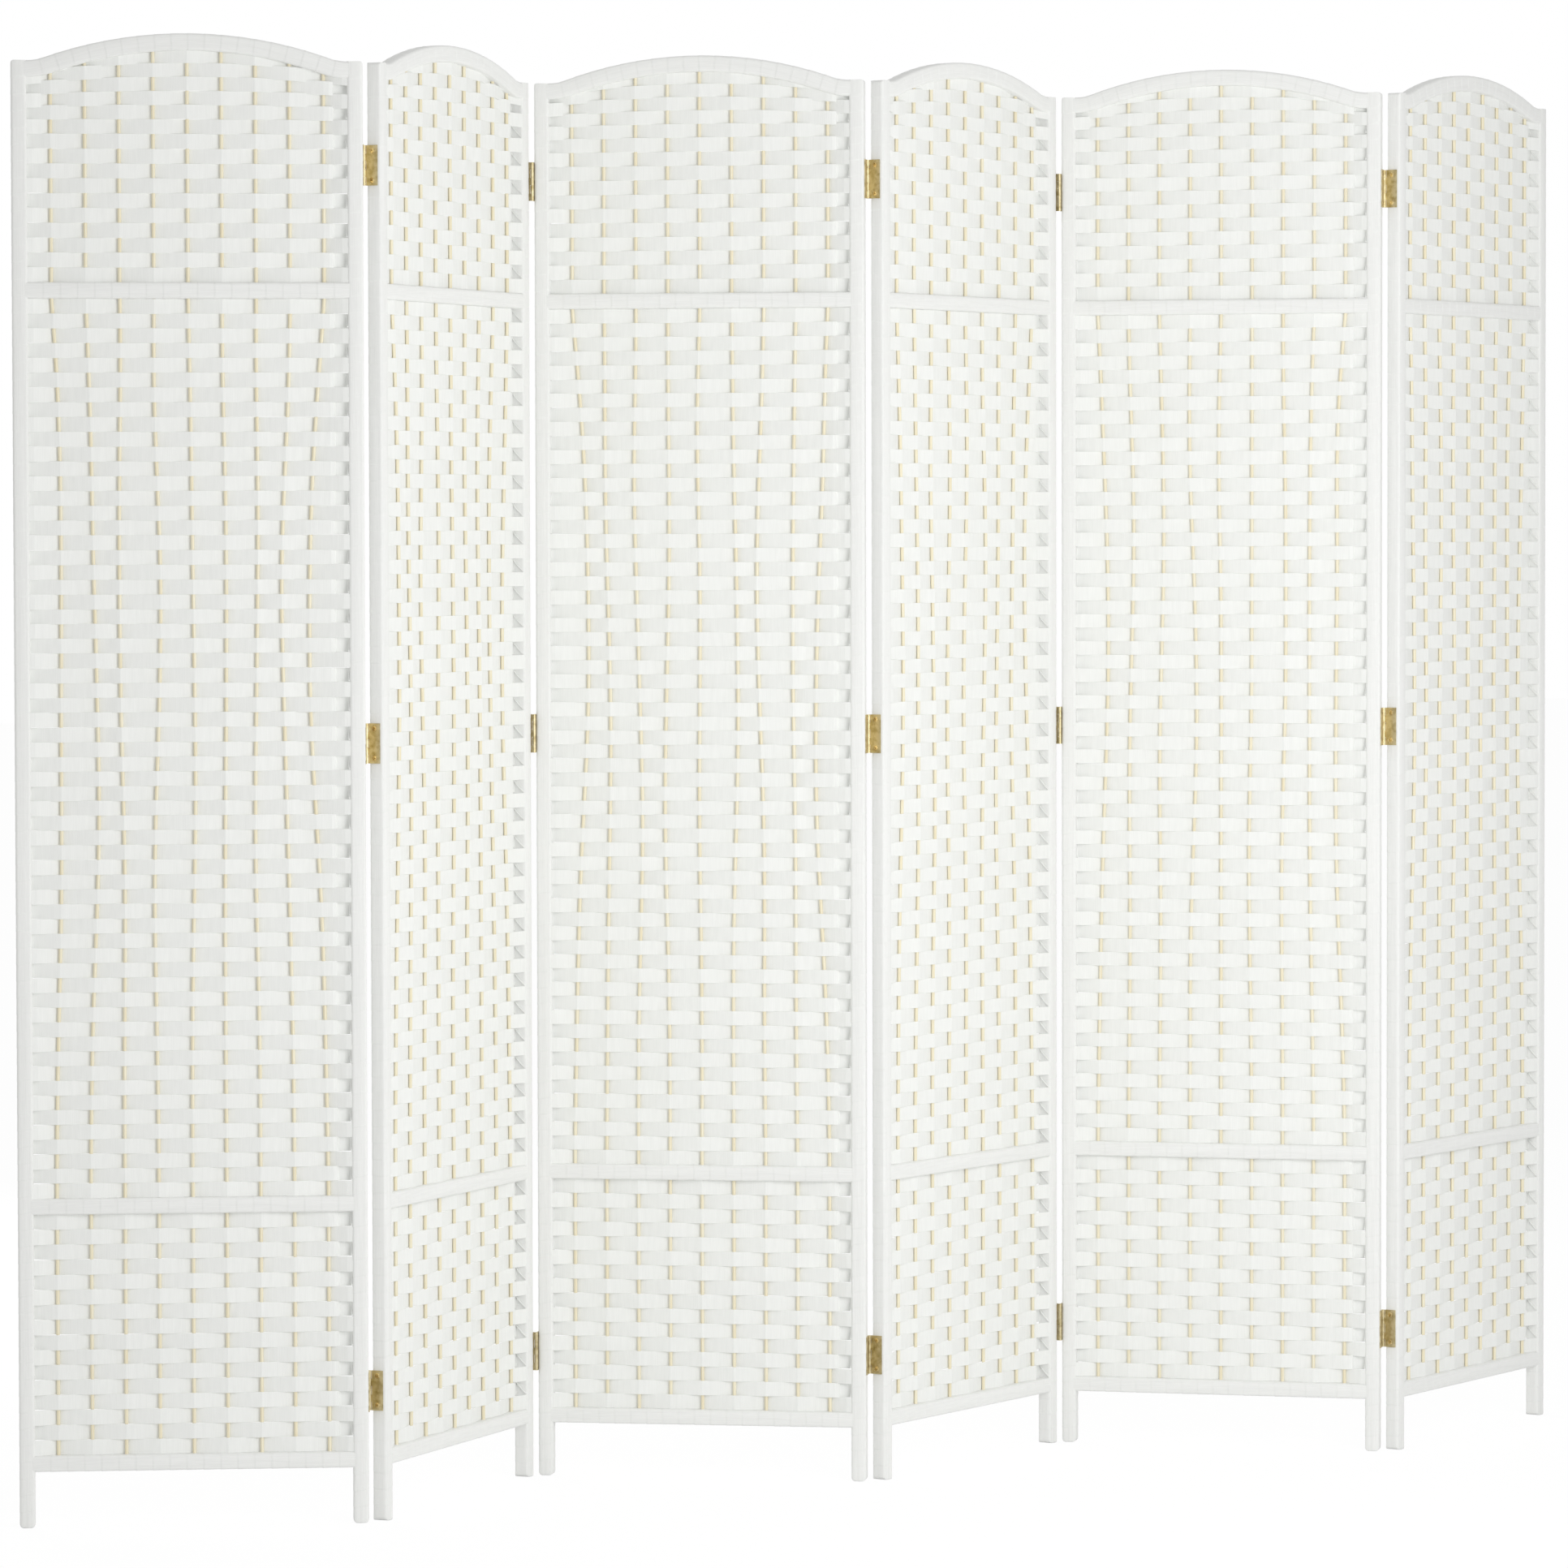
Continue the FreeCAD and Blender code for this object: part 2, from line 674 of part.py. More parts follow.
stile_place = f"({half_width} - {half_stile})"
places = chain_places()
for index, place in enumerate(places):
    panel = f"panel_{index + 1}"
    first = index == 0
    last = index == panel_count - 1
    left_master = plain_stile if first else stiles[pin_side(index)]
    right_master = plain_stile if last else stiles[pin_side(index)]
    left_place = shift(f"-{stile_place}") * turned_about(upward, half_turn)
    left_stile = copy_of(left_master, f"{panel}_left_post", left_place)
    right_stile = copy_of(right_master, f"{panel}_right_post", shift(stile_place))
    rails = [
        copy_of(bottom_rail, f"{panel}_bottom_rail", shift(z="sizes.bottom_rail_middle")),
        copy_of(cross_rail, f"{panel}_lower_rail", shift(z="sizes.lower_rail_middle")),
        copy_of(cross_rail, f"{panel}_upper_rail", shift(z=upper_rail_middle)),
    ]
    add_node(f"{panel}_left_stile", [left_stile], place)
    add_node(f"{panel}_right_stile", [right_stile], place)
    add_node(f"{panel}_top_rail", [top_rail], place)
    add_node(f"{panel}_cross_rails", rails, place)
    add_node(f"{panel}_frame_dowels", dowels, place)
    add_node(f"{panel}_weaving_rods", rods, place)
    add_node(f"{panel}_woven_fields", fields, place)
    leaves = []
    screws = []
    if not first:
        end_leaves, end_screws = hinge_pieces(index + 1, index - 1, -1, inner_leaf)
        leaves += end_leaves
        screws += end_screws
    if not last:
        end_leaves, end_screws = hinge_pieces(index + 1, index, 1, outer_leaf)
        leaves += end_leaves
        screws += end_screws
        pins = []
        for hinge, middle in enumerate(hinge_middles, start=1):
            spot = pin_place(index, 1) * shift(z=middle)
            pins.append(copy_of(pin, f"{panel}_pin_{hinge}", spot))
        add_node(f"hinge_pins_{index + 1}_to_{index + 2}", pins, place)
        axis = (place * pin_place(index, 1)).Base
        print("hinge axis", index + 1, [round(value, 4) for value in (axis.x, axis.y)])
    add_node(f"{panel}_hinge_leaves", leaves, place)
    add_node(f"{panel}_hinge_screws", screws, place)

doc.recompute()
failed = [obj.Name for obj in doc.Objects if "Invalid" in obj.State or "Error" in obj.State]
if failed:
    raise RuntimeError(f"objects that did not compute: {failed}")
for node in nodes:
    if node.Shape.isNull() or not node.Shape.isValid() or not node.Shape.Solids:
        raise RuntimeError(f"bad shape: {node.Label}")

os.makedirs("parts", exist_ok=True)
for node in nodes:
    solids = node.Shape.Solids
    shape = solids[0] if len(solids) == 1 else node.Shape
    shape.exportStep(os.path.join("parts", f"{node.Label}.step"))
print("nodes", len(nodes), "solids", sum(len(node.Shape.Solids) for node in nodes))
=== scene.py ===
import json
import math

import bmesh
import bpy
from mathutils import Matrix, Vector

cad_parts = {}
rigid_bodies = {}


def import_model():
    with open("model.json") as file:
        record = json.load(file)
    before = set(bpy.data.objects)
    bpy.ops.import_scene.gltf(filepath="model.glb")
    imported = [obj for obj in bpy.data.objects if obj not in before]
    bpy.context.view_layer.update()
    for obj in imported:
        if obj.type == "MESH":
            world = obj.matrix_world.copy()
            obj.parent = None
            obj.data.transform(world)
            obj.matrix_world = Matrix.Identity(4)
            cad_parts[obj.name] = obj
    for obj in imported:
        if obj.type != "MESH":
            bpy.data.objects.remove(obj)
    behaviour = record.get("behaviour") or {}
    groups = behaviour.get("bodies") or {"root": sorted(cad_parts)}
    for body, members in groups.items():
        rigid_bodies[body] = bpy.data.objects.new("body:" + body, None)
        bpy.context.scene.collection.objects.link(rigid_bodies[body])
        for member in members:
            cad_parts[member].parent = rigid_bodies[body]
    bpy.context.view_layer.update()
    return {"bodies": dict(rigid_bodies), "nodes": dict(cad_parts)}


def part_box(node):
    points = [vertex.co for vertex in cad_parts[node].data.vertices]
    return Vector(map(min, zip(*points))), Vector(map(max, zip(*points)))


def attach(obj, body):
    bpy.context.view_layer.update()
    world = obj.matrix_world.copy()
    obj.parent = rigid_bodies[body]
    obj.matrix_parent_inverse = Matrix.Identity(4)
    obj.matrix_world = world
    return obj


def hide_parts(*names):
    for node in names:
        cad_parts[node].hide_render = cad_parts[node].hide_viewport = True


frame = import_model()

# Stiles
# Two square softwood posts to a panel, wound from foot to shoulder with flat white paper ribbon.
# Each turn laps over the one below it, so faint leaning seams cross the post.
stile_width = 0.018
frame_depth = 0.018
edge_radius = 0.003
foot_radius = 0.005
shoulder_radius = 0.004
wrap_pitch = 0.019
wrap_lap = 0.00022
wrap_lean = 0.16
wrap_white = (0.90, 0.905, 0.89, 1)
wrap_shade = (0.82, 0.825, 0.81, 1)
panels = range(1, len(frame["bodies"]) + 1)


class Field:
    """A value that varies over a piece: arithmetic on it adds Math nodes to its tree."""

    def __init__(self, socket):
        self.socket = socket
        self.tree = socket.id_data

    def math(self, operation, *values):
        """A Math node with this value as its first input."""
        node = self.tree.nodes.new("ShaderNodeMath")
        node.operation = operation
        for socket, value in zip(node.inputs, (self, *values)):
            plug(self.tree, value, socket)
        return Field(node.outputs[0])

    def within(self, low, high):
        """The value, kept between two limits."""
        return self.math("MAXIMUM", low).math("MINIMUM", high)

    def equals(self, number):
        """1 where the value is this whole number, and 0 elsewhere."""
        return self.math("COMPARE", number, 0.5)

    def __add__(self, other):
        return self.math("ADD", other)

    def __sub__(self, other):
        return self.math("SUBTRACT", other)

    def __mul__(self, other):
        return self.math("MULTIPLY", other)

    def __truediv__(self, other):
        return self.math("DIVIDE", other)

    def __neg__(self):
        return self * -1

    def __rsub__(self, other):
        return -self + other

    __radd__ = __add__
    __rmul__ = __mul__


def plug(tree, value, socket):
    """Feed a socket with a field or with a plain value."""
    if isinstance(value, Field):
        tree.links.new(value.socket, socket)
    else:
        socket.default_value = value


def add_node(tree, kind, inputs=None, output=None, **settings):
    """Add a node, set it up, and give back its first output or the one named."""
    node = tree.nodes.new(kind)
    for name, value in settings.items():
        setattr(node, name, value)
    for name, value in (inputs or {}).items():
        plug(tree, value, next(s for s in node.inputs if s.name == name and s.enabled))
    return Field(next(s for s in node.outputs if s.enabled and output in (None, s.name)))


def new_group(name, kind, inputs, outputs):
    """A node group with named sockets, and its inputs as fields."""
    group = bpy.data.node_groups.new(name, kind)
    for way, sockets in (("INPUT", inputs), ("OUTPUT", outputs)):
        for label, socket_type in sockets.items():
            group.interface.new_socket(label, in_out=way, socket_type=f"NodeSocket{socket_type}")
    entry = group.nodes.new("NodeGroupInput")
    return group, {socket.name: Field(socket) for socket in entry.outputs if socket.name}


def give(group, results):
    """Feed a group's outputs."""
    last = group.nodes.new("NodeGroupOutput")
    for label, value in results.items():
        plug(group, value, last.inputs[label])


def vector(tree, x=0.0, y=0.0, z=0.0):
    """Three values as one vector."""
    return add_node(tree, "ShaderNodeCombineXYZ", {"X": x, "Y": y, "Z": z})


def scaled(tree, direction, amount):
    """A direction times an amount."""
    return add_node(tree, "ShaderNodeVectorMath", {"Vector": direction, "Scale": amount}, operation="SCALE")


def component(tree, source, axis):
    """One axis of a vector."""
    return add_node(tree, "ShaderNodeSeparateXYZ", {"Vector": source}, output=axis)


def position(tree, axis):
    """Where each point lies along an axis."""
    return component(tree, add_node(tree, "GeometryNodeInputPosition"), axis)


def store(tree, geometry, name, value, data_type="FLOAT"):
    """Keep a value on each point under a name."""
    return add_node(
        tree,
        "GeometryNodeStoreNamedAttribute",
        {"Geometry": geometry, "Name": name, "Value": value},
        data_type=data_type,
        domain="POINT",
    )


def stored(tree, name, data_type="FLOAT"):
    """The value that each point keeps under a name."""
    return add_node(tree, "GeometryNodeInputNamedAttribute", {"Name": name}, data_type=data_type)


def moved(tree, geometry, offset=None, to=None):
    """The points of a shape moved by an offset or to a place."""
    inputs = {"Geometry": geometry}
    if offset:
        inputs["Offset"] = offset
    if to:
        inputs["Position"] = to
    return add_node(tree, "GeometryNodeSetPosition", inputs)


def finished(tree, geometry, material, smooth=True):
    """Shaded, realized and with its material: the end of every geometry tree here."""
    shaded = add_node(
        tree, "GeometryNodeSetShadeSmooth", {"Geometry": geometry, "Shade Smooth": smooth}
    )
    plain = add_node(tree, "GeometryNodeRealizeInstances", {"Geometry": shaded})
    dressed = add_node(tree, "GeometryNodeSetMaterial", {"Geometry": plain, "Material": material})
    give(tree, {"Geometry": dressed})
    return tree


def ribbon_section(tree, width, height, radius, facets):
    """A closed outline with rounded corners, each point's place in it kept for the grain."""
    outline = add_node(
        tree, "GeometryNodeCurvePrimitiveQuadrilateral", {"Width": width, "Height": height}
    )
    outline = add_node(
        tree,
        "GeometryNodeFilletCurve",
        {"Curve": outline, "Count": facets, "Radius": radius},
        mode="POLY",
    )
    return store(tree, outline, "across", add_node(tree, "GeometryNodeInputPosition"), "FLOAT_VECTOR")


def grow(tree, seed, sizes):
    """The plain mesh that a geometry tree makes from a seed mesh and named sizes."""
    holder = bpy.data.objects.new("seed", seed)
    bpy.context.scene.collection.objects.link(holder)
    modifier = holder.modifiers.new(tree.name, "NODES")
    modifier.node_group = tree
    for socket in tree.interface.items_tree:
        if socket.in_out == "INPUT" and socket.name in sizes:
            modifier[socket.identifier] = sizes[socket.name]
    evaluated = holder.evaluated_get(bpy.context.evaluated_depsgraph_get())
    mesh = bpy.data.meshes.new_from_object(evaluated)
    holder.modifiers.remove(modifier)
    bpy.data.objects.remove(holder)
    return mesh


def seed_mesh(points, edges=(), **attributes):
    """A mesh of bare points, with a number kept on each point under each name."""
    mesh = bpy.data.meshes.new("seed")
    mesh.from_pydata(points, edges, [])
    for name, values in attributes.items():
        mesh.attributes.new(name, "FLOAT", "POINT").data.foreach_set("value", values)
    return mesh


def path_seed(points):
    """A mesh of points joined in one line."""
    return seed_mesh(points, [(i, i + 1) for i in range(len(points) - 1)])


def panel_place(panel):
    """From a panel's own frame, X along it, Y to its back and Z up at its middle, to the row."""
    left, right = (
        sum(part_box(f"panel_{panel}_{side}_stile"), Vector()) / 2 for side in ("left", "right")
    )
    along = (right - left).normalized()
    back = Vector((-along.y, along.x, 0))
    turn = Matrix((along, back, Vector((0, 0, 1)))).transposed().to_4x4()
    middle = (left + right) / 2
    return Matrix.Translation((middle.x, middle.y, 0)) @ turn


places = {panel: panel_place(panel) for panel in panels}


def fit(name, mesh, panel, slot, *nodes):
    """Put a panel's mesh in its place as a piece that stands for CAD nodes."""
    mesh.name = name
    mesh.transform(places[panel])
    piece = bpy.data.objects.new(name, mesh)
    bpy.context.scene.collection.objects.link(piece)
    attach(piece, f"panel_{panel}")
    if nodes:
        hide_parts(*nodes)
    return piece


def wrapped_member_tree():
    """A bar swept along a path and wound with ribbon, in laps that lean a little."""
    tree, given = new_group(
        "wrapped_member",
        "GeometryNodeTree",
        {
            "Path": "Geometry",
            "Turns": "Int",
            "Stations": "Int",
            "Width": "Float",
            "Height": "Float",
            "Edge radius": "Float",
            "Lap": "Float",
            "Lean": "Float",
            "Material": "Material",
        },
        {"Geometry": "Geometry"},
    )
    rim = 0.0012
    lip = 0.0005
    straight_end = 0.02
    path = add_node(tree, "GeometryNodeMeshToCurve", {"Mesh": given["Path"]})
    stations = given["Stations"]
    count = given["Turns"] * stations + 1
    path = add_node(tree, "GeometryNodeResampleCurve", {"Curve": path, "Count": count}, mode="COUNT")
    path = add_node(tree, "GeometryNodeSetCurveNormal", {"Curve": path}, mode="Z_UP")
    length = add_node(tree, "GeometryNodeCurveLength", {"Curve": path})
    turn = length / given["Turns"]
    # A turn starts with a rim at full height, sinks by the lap and ends in a short lip.
    phase = add_node(tree, "GeometryNodeInputIndex").math("FLOORED_MODULO", stations)
    first = phase.equals(0)
    last = phase.equals(stations - 1)
    under = ((phase - 1) / (stations - 3)).within(0, 1)
    place = (1 - first) * rim + under * (turn - lip - rim * 2) + last * rim
    shift = place - phase * turn / stations
    tangent = add_node(tree, "GeometryNodeInputTangent")
    path = moved(tree, path, scaled(tree, tangent, shift))
    along = add_node(tree, "GeometryNodeSplineParameter", output="Length")
    path = store(tree, path, "along", along)
    path = store(tree, path, "under", under)
    path = store(tree, path, "heading", tangent, "FLOAT_VECTOR")
    section = ribbon_section(tree, given["Width"], given["Height"], given["Edge radius"], facets=3)
    bar = add_node(
        tree, "GeometryNodeCurveToMesh", {"Curve": path, "Profile Curve": section, "Fill Caps": True}
    )
    along = stored(tree, "along")
    across = stored(tree, "across", "FLOAT_VECTOR")
    from_end = (along.math("MINIMUM", length - along) / straight_end).within(0, 1)
    lean = component(tree, across, "X") * given["Lean"] * from_end
    outward = add_node(tree, "GeometryNodeInputNormal")
    bar = moved(tree, bar, scaled(tree, outward, stored(tree, "under") * given["Lap"] * -1))
    bar = moved(tree, bar, scaled(tree, stored(tree, "heading", "FLOAT_VECTOR"), lean))
    grain = vector(tree, along, component(tree, across, "X"), component(tree, across, "Y"))
    bar = store(tree, bar, "grain", grain, "FLOAT_VECTOR")
    return finished(tree, bar, given["Material"])


def paper_fibre_group():
    """White paper ribbon: hair-fine ribs and broader streaks, in a colour and a height."""
    group, given = new_group(
        "paper_fibre",
        "ShaderNodeTree",
        {
            "Grain": "Vector",
            "Rib scale": "Vector",
            "Streak scale": "Vector",
            "White": "Color",
            "Shade": "Color",
            "Tone": "Float",
        },
        {"Color": "Color", "Roughness": "Float", "Height": "Float"},
    )

    def noise(scale, detail):
        """Noise over the grain, drawn out by a scale for each axis."""
        stretched = add_node(
            group,
            "ShaderNodeVectorMath",
            {"Vector": given["Grain"]},
            operation="MULTIPLY",
        )
        group.links.new(scale.socket, stretched.socket.node.inputs[1])
        return add_node(
            group, "ShaderNodeTexNoise", {"Vector": stretched, "Scale": 1.0, "Detail": detail}
        )

    contrast = 2.4
    rib_share = 0.6
    base_roughness = 0.5
    roughness_spread = 0.2
    ribs = noise(given["Rib scale"], detail=2.0)
    streaks = noise(given["Streak scale"], detail=3.0)
    whiteness = ((ribs + streaks) * 0.5 - 0.5) * contrast + 0.5 + given["Tone"]
    mix = group.nodes.new("ShaderNodeMix")
    mix.data_type = "RGBA"
    plug(group, whiteness.within(0, 1), mix.inputs["Factor"])
    for label, name in (("A", "Shade"), ("B", "White")):
        socket = next(s for s in mix.inputs if s.name == label and s.enabled)
        plug(group, given[name], socket)
    colour = Field(next(s for s in mix.outputs if s.enabled))
    roughness = ribs * roughness_spread + base_roughness
    height = ribs * rib_share + streaks * (1 - rib_share)
    give(group, {"Color": colour, "Roughness": roughness, "Height": height})
    return group


def new_material(name):
    """A new material, its node tree and its surface shader."""
    material = bpy.data.materials.new(name)
    material.use_nodes = True
    tree = material.node_tree
    return material, tree, tree.nodes["Principled BSDF"]


def ribbed_paper(name, white, shade, rib_scale, streak_scale, tone, bump_depth, row_tones=False):
    """A paper ribbon's material, from the grain and, for rows, the tones kept on the mesh."""
    material, tree, surface = new_material(name)
    group = tree.nodes.new("ShaderNodeGroup")
    group.node_tree = paper_fibre
    grain = add_node(tree, "ShaderNodeAttribute", output="Vector", attribute_name="grain")
    if row_tones:
        tone = add_node(tree, "ShaderNodeAttribute", output="Fac", attribute_name="tone") + tone
    looks = {
        "Grain": grain,
        "Rib scale": rib_scale,
        "Streak scale": streak_scale,
        "White": white,
        "Shade": shade,
        "Tone": tone,
    }
    for label, value in looks.items():
        plug(tree, value, group.inputs[label])
    tree.links.new(group.outputs["Color"], surface.inputs["Base Color"])
    tree.links.new(group.outputs["Roughness"], surface.inputs["Roughness"])
    relief = add_node(
        tree,
        "ShaderNodeBump",
        {"Height": Field(group.outputs["Height"]), "Strength": 0.6, "Distance": bump_depth},
    )
    plug(tree, relief, surface.inputs["Normal"])
    surface.inputs["Specular IOR Level"].default_value = 0.3
    return material


paper_fibre = paper_fibre_group()
wrapped_member = wrapped_member_tree()
wrap_paper = ribbed_paper(
    "wrapped_paper",
    wrap_white,
    wrap_shade,
    rib_scale=(40, 1100, 1100),
    streak_scale=(9, 260, 260),
    tone=0.12,
    bump_depth=0.0002,
)


def wrapped_bar(points, width, height, stations=4):
    """A wrapped member along a path, whole turns of ribbon from end to end."""
    length = sum((Vector(b) - Vector(a)).length for a, b in zip(points, points[1:]))
    sizes = {
        "Turns": round(length / wrap_pitch),
        "Stations": stations,
        "Width": width,
        "Height": height,
        "Edge radius": edge_radius,
        "Lap": wrap_lap,
        "Lean": wrap_lean,
        "Material": wrap_paper,
    }
    return grow(wrapped_member, path_seed(points), sizes)


def round_end(mesh, end, way, radius, middle, sides):
    """Round a post's end over to its sides: end is a height, way points into the post."""
    shape = bmesh.new()
    shape.from_mesh(mesh)
    steps = 5
    for step in range(1, steps + 1):
        level = end + way * radius * (1 - math.cos(math.pi / 2 * step / steps))
        whole = shape.verts[:] + shape.edges[:] + shape.faces[:]
        bmesh.ops.bisect_plane(shape, geom=whole, plane_co=(0, 0, level), plane_no=(0, 0, 1))
    for vert in shape.verts:
        depth = (vert.co.z - end) * way
        if depth < radius:
            inset = radius - math.sqrt(max(0, radius**2 - (radius - depth) ** 2))
            reach = stile_width / 2 - inset
            offset = vert.co.x - middle
            if math.copysign(1, offset) in sides and abs(offset) > reach:
                vert.co.x = middle + math.copysign(reach, offset)
    shape.to_mesh(mesh)
    shape.free()


stile_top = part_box("panel_1_left_stile")[1].z
stile_span = (places[1].inverted() @ (sum(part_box("panel_1_right_stile"), Vector()) / 2)).x
for panel in panels:
    for side, way in (("left", -1), ("right", 1)):
        middle = way * stile_span
        post = wrapped_bar([(middle, 0, 0), (middle, 0, stile_top)], stile_width, frame_depth)
        round_end(post, end=0, way=1, radius=foot_radius, middle=middle, sides=(-1, 1))
        round_end(post, end=stile_top, way=-1, radius=shoulder_radius, middle=middle, sides=(way,))
        name = f"panel_{panel}_{side}_stile"
        fit(f"{name}_wrapped", post, panel, "wrapped_frame", name)

# Rails
# An arched top rail and three straight rails, doweled between the stiles and wound with the
# same ribbon. The top rail leaves each stile in a cove and rises to a shallow crown.
top_rail_height = 0.0195
rail_height = 0.0185
arch_rise = 0.031
cove_radius = 0.060
arch_stations = 9
bottom_rail_middle = 0.073
lower_rail_middle = 0.367
upper_rail_drop = 0.260
upper_rail_middle = stile_top - upper_rail_drop
rail_seat = 0.0028
half_span = stile_span - stile_width / 2
rail_reach = half_span + rail_seat
crown_radius = (half_span**2 + arch_rise**2) / (2 * arch_rise) - cove_radius
crown_middle = stile_top + arch_rise - crown_radius


def arch_line(drop):
    """Points along the arch, below its outer edge by a drop."""
    lean = math.asin(half_span / (cove_radius + crown_radius))
    steps = 12
    cove = cove_radius + drop
    crown = crown_radius - drop
    angles = [lean * step / steps for step in range(-steps, steps + 1)]
    left = [
        (-half_span + math.sin(a) * cove, 0, stile_top + cove_radius - math.cos(a) * cove)
        for a in angles[steps:-1]
    ]
    middle = [(math.sin(a) * crown, 0, crown_middle + math.cos(a) * crown) for a in angles]
    right = [(-x, y, z) for x, y, z in reversed(left)]
    seat = Vector((rail_seat, 0, 0))
    start = Vector(left[0]) - seat
    finish = Vector(right[-1]) + seat
    return [start, *left, *middle, *right, finish]


def joined(meshes):
    """Several meshes of one material as one."""
    shape = bmesh.new()
    for mesh in meshes:
        shape.from_mesh(mesh)
    shape.to_mesh(meshes[0])
    shape.free()
    return meshes[0]


for panel in panels:
    arch = wrapped_bar(arch_line(top_rail_height / 2), frame_depth, top_rail_height, arch_stations)
    name = f"panel_{panel}_top_rail"
    fit(f"{name}_wrapped", arch, panel, "wrapped_frame", name)
    rails = [
        wrapped_bar([(-rail_reach, 0, z), (rail_reach, 0, z)], frame_depth, rail_height)
        for z in (bottom_rail_middle, lower_rail_middle, upper_rail_middle)
    ]
    name = f"panel_{panel}_cross_rails"
    fit(f"{name}_wrapped", joined(rails), panel, "wrapped_frame", name)

# Frame dowels
# Plain beech pins, one to a rail end, glued into the rail and the stile. The joints hide them, so
# they keep their CAD shape.
dowel_pale = (0.62, 0.46, 0.28, 1)
dowel_dark = (0.47, 0.32, 0.18, 1)


def two_tones(tree, share, dark, pale, dark_until, pale_from):
    """A colour that runs from dark to pale between two values of a share."""
    ramp = tree.nodes.new("ShaderNodeValToRGB")
    low, high = ramp.color_ramp.elements
    low.color = dark
    low.position = dark_until
    high.color = pale
    high.position = pale_from
    plug(tree, share, ramp.inputs["Fac"])
    return Field(ramp.outputs["Color"])


def grained_wood(name, pale, dark, scale, roughness):
    """Wood in two tones, its fibres drawn out by a scale for each axis."""
    roughness_spread = 0.25
    material, tree, surface = new_material(name)
    coordinates = add_node(tree, "ShaderNodeTexCoord", output="Object")
    stretched = add_node(tree, "ShaderNodeMapping", {"Vector": coordinates, "Scale": scale})
    fibres = add_node(tree, "ShaderNodeTexNoise", {"Vector": stretched, "Scale": 1.0, "Detail": 4.0})
    colour = two_tones(tree, fibres, dark, pale, dark_until=0.3, pale_from=0.62)
    plug(tree, colour, surface.inputs["Base Color"])
    plug(tree, fibres * roughness_spread + roughness, surface.inputs["Roughness"])
    relief = add_node(tree, "ShaderNodeBump", {"Height": fibres, "Strength": 0.4, "Distance": 0.0003})
    plug(tree, relief, surface.inputs["Normal"])
    return material


def dress(node, material):
    """Give a CAD node's own mesh a finish."""
    materials = frame["nodes"][node].data.materials
    materials.clear()
    materials.append(material)


dowel_wood = grained_wood("dowel_wood", dowel_pale, dowel_dark, scale=(500, 500, 500), roughness=0.5)
for panel in panels:
    dress(f"panel_{panel}_frame_dowels", dowel_wood)

# Weaving rods
# Nine split bamboo sticks to a panel, left their own yellow, stand in the bottom and top rails
# and pass through the cross rails. The pull of the weave bows the outer ones in towards the middle
# and leaves all of them a little unevenly spaced.
rod_count = 9
last_rod = rod_count - 1
middle_rod = last_rod / 2
rod_diameter = 0.004
rod_edge_gap = 0.0266
rod_seat = 0.008
rod_pitch = 2 * (half_span - rod_edge_gap) / last_rod
rod_stations = 80
rod_facets = 10
rod_bow = 0.014
bow_rise = 1.5
bow_outward = 1.2
rod_stray = 0.026
stray_start = 0.37
stray_per_rod = 0.83
stray_per_metre = 2
stray_per_seed = 0.73
seeds_per_panel = 10
bamboo_pale = (0.90, 0.845, 0.66, 1)
bamboo_dark = (0.82, 0.72, 0.49, 1)
middle_field_low = lower_rail_middle + rail_height / 2
middle_field_high = upper_rail_middle - rail_height / 2
arch_inner_radius = crown_radius - top_rail_height


def arch_drop(across):
    """How far the arch's inner edge lies below its crown at a place across the panel."""
    return arch_inner_radius - (arch_inner_radius**2 - across * across).math("SQRT")


def rod_across(tree, rod, height, seed):
    """A rod's place across the panel at a height, for a field of rod numbers from 0."""
    # The weave pulls hardest above mid-height, and most on the outer rods.
    share = ((height - middle_field_low) / (middle_field_high - middle_field_low)).within(0, 1)
    pull = (share.math("POWER", bow_rise) * math.pi).math("SINE")
    side = (rod - middle_rod) / middle_rod
    bow = side * side.math("ABSOLUTE").math("POWER", bow_outward) * rod_bow
    along_rod = height * stray_per_metre
    wander = vector(tree, rod * stray_per_rod + stray_start, along_rod, seed * stray_per_seed)
    stray = add_node(tree, "ShaderNodeTexNoise", {"Vector": wander, "Scale": 1.0, "Detail": 0.0})
    return (rod - middle_rod) * rod_pitch + pull * ((stray - 0.5) * rod_stray - bow)


